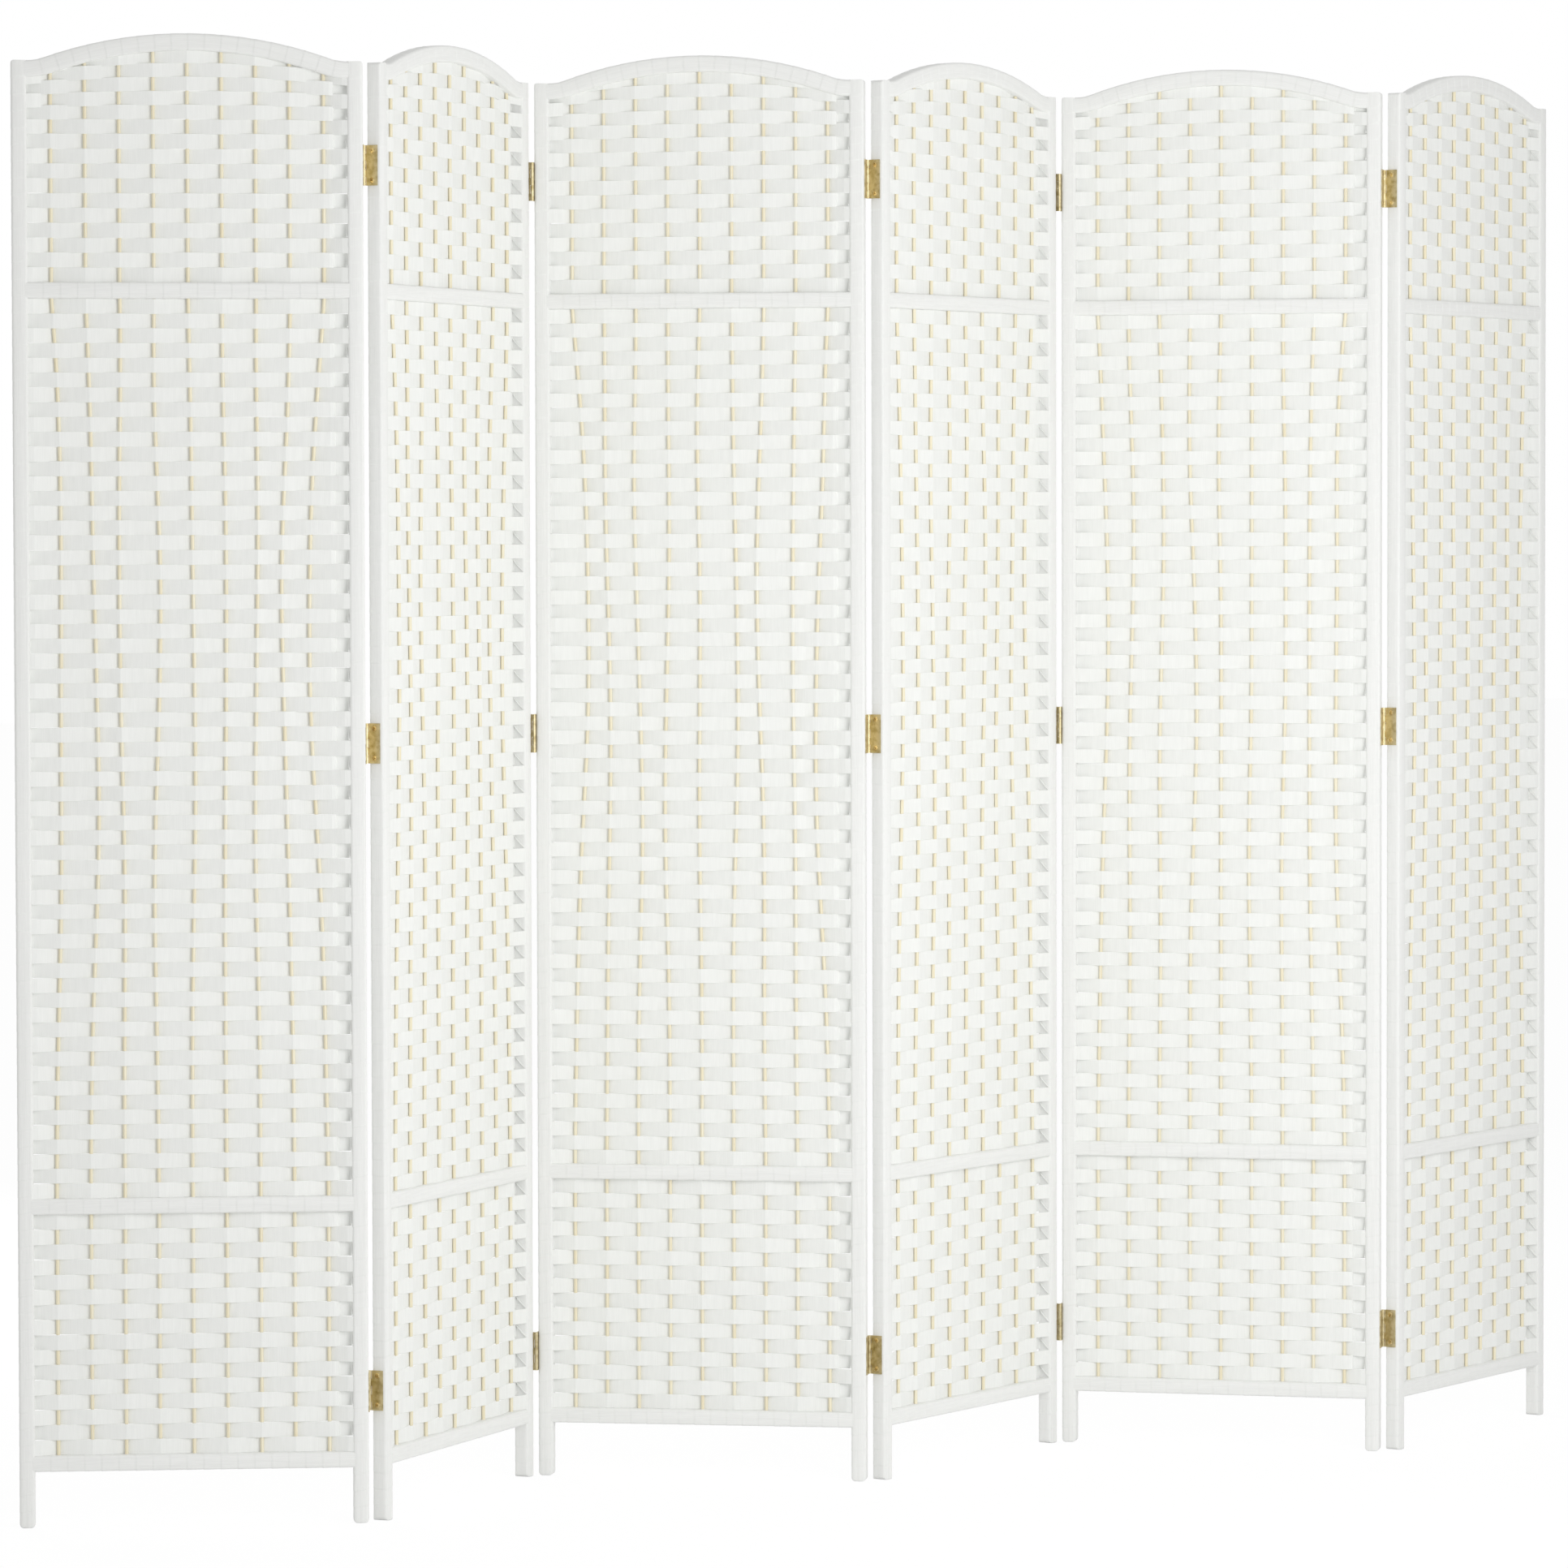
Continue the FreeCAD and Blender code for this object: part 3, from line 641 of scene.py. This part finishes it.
def weaving_rods_tree():
    """Sticks on points numbered across the panel, from a low end to the arch."""
    tree, given = new_group(
        "weaving_rods",
        "GeometryNodeTree",
        {
            "Rods": "Geometry",
            "Radius": "Float",
            "Low": "Float",
            "Seat": "Float",
            "Seed": "Int",
            "Material": "Material",
        },
        {"Geometry": "Geometry"},
    )
    stick = add_node(tree, "GeometryNodeCurvePrimitiveLine", {"Start": (0, 0, 0), "End": (0, 0, 1)})
    stick = add_node(
        tree, "GeometryNodeResampleCurve", {"Curve": stick, "Count": rod_stations}, mode="COUNT"
    )
    sticks = add_node(tree, "GeometryNodeInstanceOnPoints", {"Points": given["Rods"], "Instance": stick})
    sticks = add_node(tree, "GeometryNodeRealizeInstances", {"Geometry": sticks})
    rod = stored(tree, "rod")
    straight = (rod - middle_rod) * rod_pitch
    top = crown_middle + arch_inner_radius - arch_drop(straight) + given["Seat"]
    height = given["Low"] + position(tree, "Z") * (top - given["Low"])
    across = rod_across(tree, rod, height, given["Seed"])
    sticks = moved(tree, sticks, to=vector(tree, across, 0.0, height))
    outline = add_node(
        tree, "GeometryNodeCurvePrimitiveCircle", {"Resolution": rod_facets, "Radius": given["Radius"]}
    )
    sticks = add_node(
        tree, "GeometryNodeCurveToMesh", {"Curve": sticks, "Profile Curve": outline, "Fill Caps": True}
    )
    return finished(tree, sticks, given["Material"])


bamboo = grained_wood("bamboo_rod", bamboo_pale, bamboo_dark, scale=(900, 900, 14), roughness=0.35)
weaving_rods = weaving_rods_tree()
rod_sizes = {
    "Radius": rod_diameter / 2,
    "Low": bottom_rail_middle + rail_height / 2 - rod_seat,
    "Seat": rod_seat,
    "Material": bamboo,
}
weave_seeds = {panel: panel * seeds_per_panel for panel in panels}
for panel in panels:
    seed = seed_mesh([(0, 0, 0)] * rod_count, rod=range(rod_count))
    fit(
        f"panel_{panel}_bamboo_rods",
        grow(weaving_rods, seed, rod_sizes | {"Seed": weave_seeds[panel]}),
        panel,
        "bamboo_rod",
        f"panel_{panel}_weaving_rods",
    )

# Woven ribbons
# Flat white paper ribbon, ribbed across its width, woven row by row in front of one rod and
# behind the next. Every second row turns back at the right stile and leaves a small pocket there.
ribbon_width = 0.0171
ribbon_thickness = 0.0009
ribbon_rounding_share = 0.3
ribbon_seat = 0.003
ribbon_swing = 0.0028
front_slope = 1.14
edge_front = 0.0076
edge_left = 0.0016
edge_pinch = 0.06
odd_pocket = {"width": 0.0205, "depth": 0.0010}
even_pocket = {"width": 0.0232, "depth": 0.0062}
pocket_bend = 0.0040
pocket_wall = 0.0018
bend_share = 0.25
rows_upper = 17
rows_lower = 16
rows_middle = {1: 61, 2: 62, 3: 61, 4: 61, 5: 61, 6: 62}
upper_pitch = 0.0168
squeezed_from = 9
squeeze = 0.00012
arch_follow = 0.0108
turned_weaves = {"lower": (4,), "middle": (4,), "upper": (3, 5)}
unevenness = 0.0003
row_tilt = 2.5
wave_rise = 3
wave_per_metre = 14
wave_per_row = 3.7
wave_per_seed = 1.3
tone_spread = 0.12
grain_per_row = 0.71
ribbon_white = (0.91, 0.92, 0.90, 1)
ribbon_shade = (0.84, 0.85, 0.83, 1)
rail_cover = 0.005
hidden_margin = 0.0008
# Stations from rod to rod, and past the outer rod to the pocket, its wall, its floor and the edge
ribbon_stations = 8
pocket_station = 2
wall_station = pocket_station + 1
floor_station = wall_station + 1
edge_station = 6
ribbon_overhang = edge_station / ribbon_stations


def ribbon_rows(panel):
    """Each row's height, weave, share of full width and share of the arch, from the bottom up.

    The last rows of the upper field are squeezed together and follow the arch.
    """
    rows = []

    def add_field(field, low, pitch, count, squeezed=False):
        first = -1 if panel in turned_weaves[field] else 1
        for row in range(count):
            late = max(0, row - squeezed_from) if squeezed else 0
            height = low + pitch * (row + 0.5) - squeeze * late**2
            weave = first if row % 2 else -first
            share = (pitch - 2 * squeeze * late) / upper_pitch
            rows.append((height, weave, share, arch_follow * late**2))

    lower_low = bottom_rail_middle + rail_height / 2
    lower_high = lower_rail_middle - rail_height / 2
    upper_low = upper_rail_middle + rail_height / 2
    middle_pitch = (middle_field_high - middle_field_low) / rows_middle[panel]
    add_field("lower", lower_low, (lower_high - lower_low) / rows_lower, rows_lower)
    add_field("middle", middle_field_low, middle_pitch, rows_middle[panel])
    add_field("upper", upper_low, upper_pitch, rows_upper, squeezed=True)
    return rows


def woven_ribbons_tree():
    """A ribbon on each row's point, laid in and out of the rods, under the arch."""
    tree, given = new_group(
        "woven_ribbons",
        "GeometryNodeTree",
        {
            "Rows": "Geometry",
            "Width": "Float",
            "Thickness": "Float",
            "Swing": "Float",
            "Edge front": "Float",
            "Edge left": "Float",
            "Edge reach": "Float",
            "Edge pinch": "Float",
            "Pocket from": "Float",
            "Pocket bend": "Float",
            "Pocket wall": "Float",
            "Pocket depth": "Float",
            "Unevenness": "Float",
            "Seed": "Int",
            "Material": "Material",
        },
        {"Geometry": "Geometry"},
    )
    stations = last_rod * ribbon_stations + 2 * edge_station + 1
    line = add_node(
        tree,
        "GeometryNodeCurvePrimitiveLine",
        {"Start": (-ribbon_overhang, 0, 0), "End": (last_rod + ribbon_overhang, 0, 0)},
    )
    line = add_node(tree, "GeometryNodeResampleCurve", {"Curve": line, "Count": stations}, mode="COUNT")
    line = add_node(tree, "GeometryNodeSetCurveNormal", {"Curve": line}, mode="Z_UP")
    rounding = given["Thickness"] * ribbon_rounding_share
    section = ribbon_section(tree, given["Thickness"], given["Width"], rounding, facets=1)
    strip = add_node(
        tree, "GeometryNodeCurveToMesh", {"Curve": line, "Profile Curve": section, "Fill Caps": True}
    )
    rows = store(tree, given["Rows"], "row", add_node(tree, "GeometryNodeInputIndex"))
    rows = store(tree, rows, "level", position(tree, "Z"))
    strips = add_node(tree, "GeometryNodeInstanceOnPoints", {"Points": rows, "Instance": strip})
    strips = add_node(tree, "GeometryNodeRealizeInstances", {"Geometry": strips})

    row = stored(tree, "row")
    level = stored(tree, "level")
    weave = stored(tree, "weave")
    share = stored(tree, "share")
    follow = stored(tree, "follow")

    def chance(draw, spread):
        """A number of each row's own, up to a spread on either side of zero."""
        return add_node(
            tree,
            "FunctionNodeRandomValue",
            {"Min": -spread, "Max": spread, "ID": row, "Seed": given["Seed"] + draw},
            data_type="FLOAT",
        )

    # Where a station lies across the panel, by the rods and then by the pocket
    rod = position(tree, "X")
    onto_rods = rod.within(0, last_rod)
    side = (rod - middle_rod).math("SIGN")
    station = ((rod - middle_rod).math("ABSOLUTE") - middle_rod).math("MAXIMUM", 0) * ribbon_stations
    edge = side * given["Edge reach"]
    pocket = side * given["Pocket from"]
    bend = side * given["Pocket bend"]
    wall = side * given["Pocket wall"]
    inner = rod_across(tree, onto_rods, level, given["Seed"])
    up_to_pocket = (station / pocket_station).math("MINIMUM", 1)
    over_bend = (station - pocket_station).within(0, 1)
    down_wall = (station - wall_station).within(0, 1)
    over_floor = ((station - floor_station) / (edge_station - floor_station)).math("MAXIMUM", 0)
    across = inner + (pocket - inner) * up_to_pocket + bend * over_bend + wall * down_wall
    across = across + (edge - pocket - bend - wall) * over_floor

    # How far it lies behind or in front of the panel's middle, and how wide the ribbon is there
    sloped = (across - inner) / (edge - inner)
    to_front = (sloped * front_slope).math("MINIMUM", 1)
    triangle = 1 - onto_rods.math("PINGPONG", 1) * 2
    dives = (weave + 1) * 0.5
    on_right = (side + 1) * 0.5
    to_floor = over_bend * bend_share + down_wall * (1 - bend_share)
    to_back = sloped + on_right * (to_floor - sloped)
    back = given["Edge left"] + on_right * (given["Pocket depth"] - given["Edge left"])
    at_edge = to_front + dives * (to_back - to_front)
    edge_depth = given["Edge front"] + dives * (back - given["Edge front"])
    depth = triangle * given["Swing"] * (1 - at_edge) - at_edge * edge_depth
    width = share * (1 - dives * sloped * given["Edge pinch"])

    # How high it lies, with the row's own unevenness and the arch that the last rows follow
    drop = arch_drop(across)
    ripple = vector(tree, across * wave_per_metre, row * wave_per_row, given["Seed"] * wave_per_seed)
    wave = add_node(tree, "ShaderNodeTexNoise", {"Vector": ripple, "Scale": 1.0, "Detail": 1.0})
    lift = chance(1, 1) + across * chance(2, row_tilt) + (wave - 0.5) * wave_rise
    along_row = level + lift * given["Unevenness"] - follow * drop
    height = along_row + (position(tree, "Z") - level) * width
    under_arch = (crown_middle + arch_inner_radius - drop).math("MAXIMUM", stile_top - top_rail_height)
    ceiling = under_arch + rail_cover
    row_foot = along_row - share * given["Width"] * 0.5
    hidden = row_foot.math("GREATER_THAN", ceiling - hidden_margin)

    strips = store(tree, strips, "hidden", hidden)
    strips = store(tree, strips, "tone", chance(3, tone_spread))
    grain = vector(tree, across + row * grain_per_row, depth, position(tree, "Z") - level)
    strips = store(tree, strips, "grain", grain, "FLOAT_VECTOR")
    place = vector(tree, across, position(tree, "Y") - weave * depth, height.math("MINIMUM", ceiling))
    strips = moved(tree, strips, to=place)
    strips = add_node(
        tree,
        "GeometryNodeDeleteGeometry",
        {"Geometry": strips, "Selection": stored(tree, "hidden").math("GREATER_THAN", 0.5)},
        domain="POINT",
    )
    return finished(tree, strips, given["Material"], smooth=False)


def capped(mesh):
    """Close the cut ends that lie hidden in the top rail."""
    shape = bmesh.new()
    shape.from_mesh(mesh)
    open_edges = [edge for edge in shape.edges if edge.is_boundary]
    bmesh.ops.holes_fill(shape, edges=open_edges, sides=0)
    shape.to_mesh(mesh)
    shape.free()
    return mesh


ribbon_paper = ribbed_paper(
    "woven_paper",
    ribbon_white,
    ribbon_shade,
    rib_scale=(1000, 1, 30),
    streak_scale=(170, 1, 22),
    tone=0.15,
    bump_depth=0.00015,
    row_tones=True,
)
woven_ribbons = woven_ribbons_tree()
pockets = {panel: odd_pocket if panel % 2 else even_pocket for panel in panels}
ribbon_sizes = {
    "Width": ribbon_width,
    "Thickness": ribbon_thickness,
    "Swing": ribbon_swing,
    "Edge front": edge_front,
    "Edge left": edge_left,
    "Edge reach": half_span + ribbon_seat,
    "Edge pinch": edge_pinch,
    "Pocket bend": pocket_bend,
    "Pocket wall": pocket_wall,
    "Unevenness": unevenness,
    "Material": ribbon_paper,
}
for panel in panels:
    heights, weaves, shares, follows = zip(*ribbon_rows(panel))
    seed = seed_mesh([(0, 0, z) for z in heights], weave=weaves, share=shares, follow=follows)
    own_sizes = {
        "Pocket from": half_span - pockets[panel]["width"],
        "Pocket depth": pockets[panel]["depth"],
        "Seed": weave_seeds[panel],
    }
    mesh = capped(grow(woven_ribbons, seed, ribbon_sizes | own_sizes))
    fit(f"panel_{panel}_ribbons", mesh, panel, "woven_ribbon", f"panel_{panel}_woven_fields")

# Folded turns
# In each pocket the ribbon folds over and runs down the stile's inner face to the next row. Its
# folded edge crosses the pocket as a slanting line.
turn_width = 0.0019
turn_thickness = 0.0010
turn_rounding_share = 0.4
turn_slope = 0.0070
turn_front = 0.0072
bulge_share = 0.8
bulge_front_share = 0.1
bulge_drop_share = 0.25


def folded_turns_tree():
    """A folded edge on each point, falling from the pocket's floor to its front."""
    tree, given = new_group(
        "folded_turns",
        "GeometryNodeTree",
        {
            "Ends": "Geometry",
            "Width": "Float",
            "Thickness": "Float",
            "Back": "Float",
            "Front": "Float",
            "Slope": "Float",
            "Material": "Material",
        },
        {"Geometry": "Geometry"},
    )
    bulge = vector(
        tree,
        given["Thickness"] * -bulge_share,
        given["Front"] * -bulge_front_share,
        given["Slope"] * -bulge_drop_share,
    )
    fold = add_node(
        tree,
        "GeometryNodeCurveQuadraticBezier",
        {
            "Resolution": 8,
            "Start": vector(tree, 0.0, given["Back"], given["Slope"]),
            "Middle": bulge,
            "End": vector(tree, 0.0, -given["Front"], -given["Slope"]),
        },
    )
    fold = add_node(tree, "GeometryNodeSetCurveNormal", {"Curve": fold}, mode="MINIMUM_TWIST")
    rounding = given["Thickness"] * turn_rounding_share
    section = ribbon_section(tree, given["Width"], given["Thickness"], rounding, facets=2)
    edge = add_node(
        tree, "GeometryNodeCurveToMesh", {"Curve": fold, "Profile Curve": section, "Fill Caps": True}
    )
    edges = add_node(tree, "GeometryNodeInstanceOnPoints", {"Points": given["Ends"], "Instance": edge})
    edges = add_node(tree, "GeometryNodeRealizeInstances", {"Geometry": edges})
    edges = store(tree, edges, "grain", add_node(tree, "GeometryNodeInputPosition"), "FLOAT_VECTOR")
    return finished(tree, edges, given["Material"])


folded_turns = folded_turns_tree()
turn_sizes = {
    "Width": turn_width,
    "Thickness": turn_thickness,
    "Front": turn_front,
    "Slope": turn_slope,
    "Material": ribbon_paper,
}
for panel in panels:
    ends = [
        (half_span - turn_thickness / 2, 0, height)
        for height, weave, share, follow in ribbon_rows(panel)
        if weave > 0 and height < stile_top - top_rail_height - ribbon_width / 2
    ]
    mesh = grow(folded_turns, seed_mesh(ends), turn_sizes | {"Back": pockets[panel]["depth"]})
    fit(f"panel_{panel}_folded_turns", mesh, panel, "woven_ribbon")

# Hinges
# Pressed brass butt hinges, three to a joint: a leaf on each stile's end face, with knuckles
# rolled round a brass pin. The lacquer has dulled.
brass_light = (0.62, 0.54, 0.34, 1)
brass_dark = (0.36, 0.285, 0.125, 1)


def rubbed_brass(name, light, dark, roughness):
    """Lacquered brass, a little cloudy and brushed along its length."""
    stroke_spread = 0.2
    cloud_spread = 0.15
    material, tree, surface = new_material(name)
    coordinates = add_node(tree, "ShaderNodeTexCoord", output="Object")
    brushed = add_node(tree, "ShaderNodeMapping", {"Vector": coordinates, "Scale": (1500, 1500, 60)})
    strokes = add_node(tree, "ShaderNodeTexNoise", {"Vector": brushed, "Scale": 1.0, "Detail": 2.0})
    clouds = add_node(tree, "ShaderNodeTexNoise", {"Vector": coordinates, "Scale": 160.0, "Detail": 3.0})
    colour = two_tones(tree, clouds, dark, light, dark_until=0.25, pale_from=0.6)
    plug(tree, colour, surface.inputs["Base Color"])
    surface.inputs["Metallic"].default_value = 1
    rubbing = strokes * stroke_spread + clouds * cloud_spread + roughness
    plug(tree, rubbing, surface.inputs["Roughness"])
    relief = add_node(tree, "ShaderNodeBump", {"Height": strokes, "Strength": 0.3, "Distance": 0.00005})
    plug(tree, relief, surface.inputs["Normal"])
    return material


leaf_brass = rubbed_brass("hinge_brass", brass_light, brass_dark, roughness=0.2)
for node in frame["nodes"]:
    if "hinge_leaves" in node or "hinge_pins" in node:
        dress(node, leaf_brass)

# Hinge screws
# Small countersunk brass wood screws, two in each leaf, their heads flush with it and
# crossed by a driver recess.
top_hinge_drop = 0.117
middle_hinge_share = 0.535
bottom_hinge_middle = 0.150
hinge_middles = (stile_top - top_hinge_drop, stile_top * middle_hinge_share, bottom_hinge_middle)
leaf_thickness = 0.0012
leaf_face = stile_span + stile_width / 2 + leaf_thickness
screw_inset = 0.007
screw_middle = frame_depth / 2 - screw_inset
screw_step = 0.017
screw_facets = 28
roll_step = 1.9
screw_light = (0.74, 0.62, 0.36, 1)
screw_dark = (0.40, 0.29, 0.12, 1)


def hinge_screws_tree():
    """A turned screw with a crossed recess, set on each point with its head out of the leaf."""
    tree, given = new_group(
        "hinge_screws",
        "GeometryNodeTree",
        {
            "Seats": "Geometry",
            "Head radius": "Float",
            "Shank radius": "Float",
            "Head depth": "Float",
            "Length": "Float",
            "Dome": "Float",
            "Slot width": "Float",
            "Slot reach": "Float",
            "Slot depth": "Float",
            "Material": "Material",
        },
        {"Geometry": "Geometry"},
    )
    head = given["Head radius"]
    shank = given["Shank radius"]
    # From the point to the head: how far out of the leaf, and how thick there
    outline = (
        (given["Length"] * -1, shank * 0.1),
        (shank - given["Length"], shank),
        (given["Head depth"] * -1, shank),
        (given["Dome"] * -1, head),
        (given["Dome"] * 0.1, head * 0.97),
        (given["Dome"] * 0.6, head * 0.75),
        (given["Dome"], head * 0.3),
    )
    axis = add_node(tree, "GeometryNodeCurvePrimitiveLine", {"Start": (0, 0, 0), "End": (1, 0, 0)})
    axis = add_node(tree, "GeometryNodeResampleCurve", {"Curve": axis, "Count": len(outline)}, mode="COUNT")
    station = add_node(tree, "GeometryNodeInputIndex")
    reach = radius = 0.0
    for number, (station_reach, station_radius) in enumerate(outline):
        here = station.equals(number)
        reach = here * station_reach + reach
        radius = here * station_radius + radius
    axis = store(tree, axis, "turned", radius)
    axis = moved(tree, axis, to=vector(tree, reach))
    ring = add_node(tree, "GeometryNodeCurvePrimitiveCircle", {"Resolution": screw_facets, "Radius": 1.0})
    solid = add_node(
        tree,
        "GeometryNodeCurveToMesh",
        {"Curve": axis, "Profile Curve": ring, "Scale": stored(tree, "turned"), "Fill Caps": True},
    )
    for across, along in (("Slot width", "Slot reach"), ("Slot reach", "Slot width")):
        bar = add_node(
            tree,
            "GeometryNodeMeshCube",
            {"Size": vector(tree, given["Slot depth"] * 2, given[across], given[along])},
        )
        cut = tree.nodes.new("GeometryNodeMeshBoolean")
        cut.operation = "DIFFERENCE"
        plug(tree, solid, cut.inputs[0])
        plug(tree, bar, cut.inputs[1])
        solid = Field(cut.outputs[0])
    turn = add_node(
        tree,
        "FunctionNodeEulerToRotation",
        {"Euler": vector(tree, stored(tree, "roll"), 0.0, stored(tree, "turn"))},
    )
    screws = add_node(
        tree,
        "GeometryNodeInstanceOnPoints",
        {"Points": given["Seats"], "Instance": solid, "Rotation": turn},
    )
    return finished(tree, screws, given["Material"], smooth=False)


hinge_screws = hinge_screws_tree()
screw_sizes = {
    "Head radius": 0.0032,
    "Shank radius": 0.0015,
    "Head depth": leaf_thickness,
    "Length": 0.012,
    "Dome": 0.00022,
    "Slot width": 0.0008,
    "Slot reach": 0.0036,
    "Slot depth": 0.0009,
    "Material": rubbed_brass("screw_brass", screw_light, screw_dark, roughness=0.1),
}
for panel in panels:
    seats = []
    turns = []
    rolls = []
    # The joints at the panel's left and right, where the row has them
    for joint, end, turn in ((panel - 1, -1, math.pi), (panel, 1, 0.0)):
        if joint in panels[:-1]:
            pin_side = 1 if joint % 2 else -1
            for middle in hinge_middles:
                for step in (-1, 1):
                    seats.append((end * leaf_face, pin_side * screw_middle, middle + step * screw_step))
                    turns.append(turn)
                    rolls.append(len(seats) * roll_step + panel)
    mesh = grow(hinge_screws, seed_mesh(seats, turn=turns, roll=rolls), screw_sizes)
    fit(f"panel_{panel}_screws", mesh, panel, "screw_brass", f"panel_{panel}_hinge_screws")

# Studio
# A white floor that runs into a white world, a broad soft lamp before the row and another
# farther off behind it, and a long lens at the photograph's place.
room_light = 0.635
lamps = {
    "front_lamp": {"power": 25.5, "place": Vector((0.08, -2.5, 1.15))},
    "back_lamp": {"power": 32, "place": Vector((-0.35, 3.4, 1.7))},
}
lamp_size = 1.5
lamp_target = Vector((0, 0, 0.85))
floor_size = 60
shadow_share = 0.08
camera_place = Vector((-3.70789, -7.07608, 1.13645))
camera_yaw = math.radians(-27.1762)
camera_pitch = math.radians(2.1928)
camera_roll = -0.002173
camera_lens = 152.676

scene = bpy.context.scene
scene.view_settings.view_transform = "Standard"


def seen_rays(tree):
    """1 for rays that show the background to the eye, straight or in a reflection."""
    rays = [
        add_node(tree, "ShaderNodeLightPath", output=label)
        for label in ("Is Camera Ray", "Is Glossy Ray", "Is Transmission Ray")
    ]
    return rays[0].math("MAXIMUM", rays[1]).math("MAXIMUM", rays[2])


def mixed(tree, share, first, second):
    """Two shaders mixed, with a share of the second."""
    node = tree.nodes.new("ShaderNodeMixShader")
    for socket, value in zip(node.inputs, (share, first, second)):
        plug(tree, value, socket)
    return Field(node.outputs[0])


world = bpy.data.worlds.new("white_studio")
world.use_nodes = True
scene.world = world
sky = world.node_tree
sky.nodes.clear()
lit = add_node(sky, "ShaderNodeBackground", {"Color": (1, 1, 0.99, 1), "Strength": room_light})
white = add_node(sky, "ShaderNodeBackground", {"Color": (1, 1, 1, 1), "Strength": 1.0})
sky_look = mixed(sky, seen_rays(sky), lit, white)
plug(sky, sky_look, sky.nodes.new("ShaderNodeOutputWorld").inputs["Surface"])

half = floor_size / 2
corners = [(-half, -half, 0), (half, -half, 0), (half, half, 0), (-half, half, 0)]
floor_mesh = bpy.data.meshes.new("floor")
floor_mesh.from_pydata(corners, [], [(0, 1, 2, 3)])
floor = bpy.data.objects.new("floor", floor_mesh)
scene.collection.objects.link(floor)
floor_white, floor_tree, floor_surface = new_material("floor_white")
floor_surface.inputs["Base Color"].default_value = (0.9, 0.9, 0.9, 1)
floor_surface.inputs["Roughness"].default_value = 0.9
floor_surface.inputs["Specular IOR Level"].default_value = 0
plain_floor = Field(floor_surface.outputs["BSDF"])
glow = add_node(floor_tree, "ShaderNodeEmission", {"Color": (1, 1, 1, 1), "Strength": 1.02})
shaded = mixed(floor_tree, shadow_share, glow, plain_floor)
floor_look = mixed(floor_tree, seen_rays(floor_tree), plain_floor, shaded)
plug(floor_tree, floor_look, floor_tree.nodes["Material Output"].inputs["Surface"])
floor_mesh.materials.append(floor_white)

for name, settings in lamps.items():
    lamp_data = bpy.data.lights.new(name, "AREA")
    lamp_data.energy = settings["power"]
    lamp_data.shape = "DISK"
    lamp_data.size = lamp_size
    lamp = bpy.data.objects.new(name, lamp_data)
    lamp.location = settings["place"]
    lamp.rotation_euler = (settings["place"] - lamp_target).to_track_quat("Z", "Y").to_euler()
    lamp.visible_camera = False
    scene.collection.objects.link(lamp)

right = Vector((math.cos(camera_yaw), math.sin(camera_yaw), 0))
ahead = Vector((-math.sin(camera_yaw), math.cos(camera_yaw), 0))
view = ahead * math.cos(camera_pitch) - Vector((0, 0, math.sin(camera_pitch)))
up = right.cross(view)
right = (right + up * camera_roll).normalized()
up = right.cross(view).normalized()
camera_data = bpy.data.cameras.new("photo_camera")
camera_data.lens = camera_lens
camera_data.sensor_width = 36
camera_data.clip_end = 200
camera = bpy.data.objects.new("photo_camera", camera_data)
facing = Matrix((right, up, -view)).transposed().to_4x4()
camera.matrix_world = Matrix.Translation(camera_place) @ facing
scene.collection.objects.link(camera)
scene.camera = camera
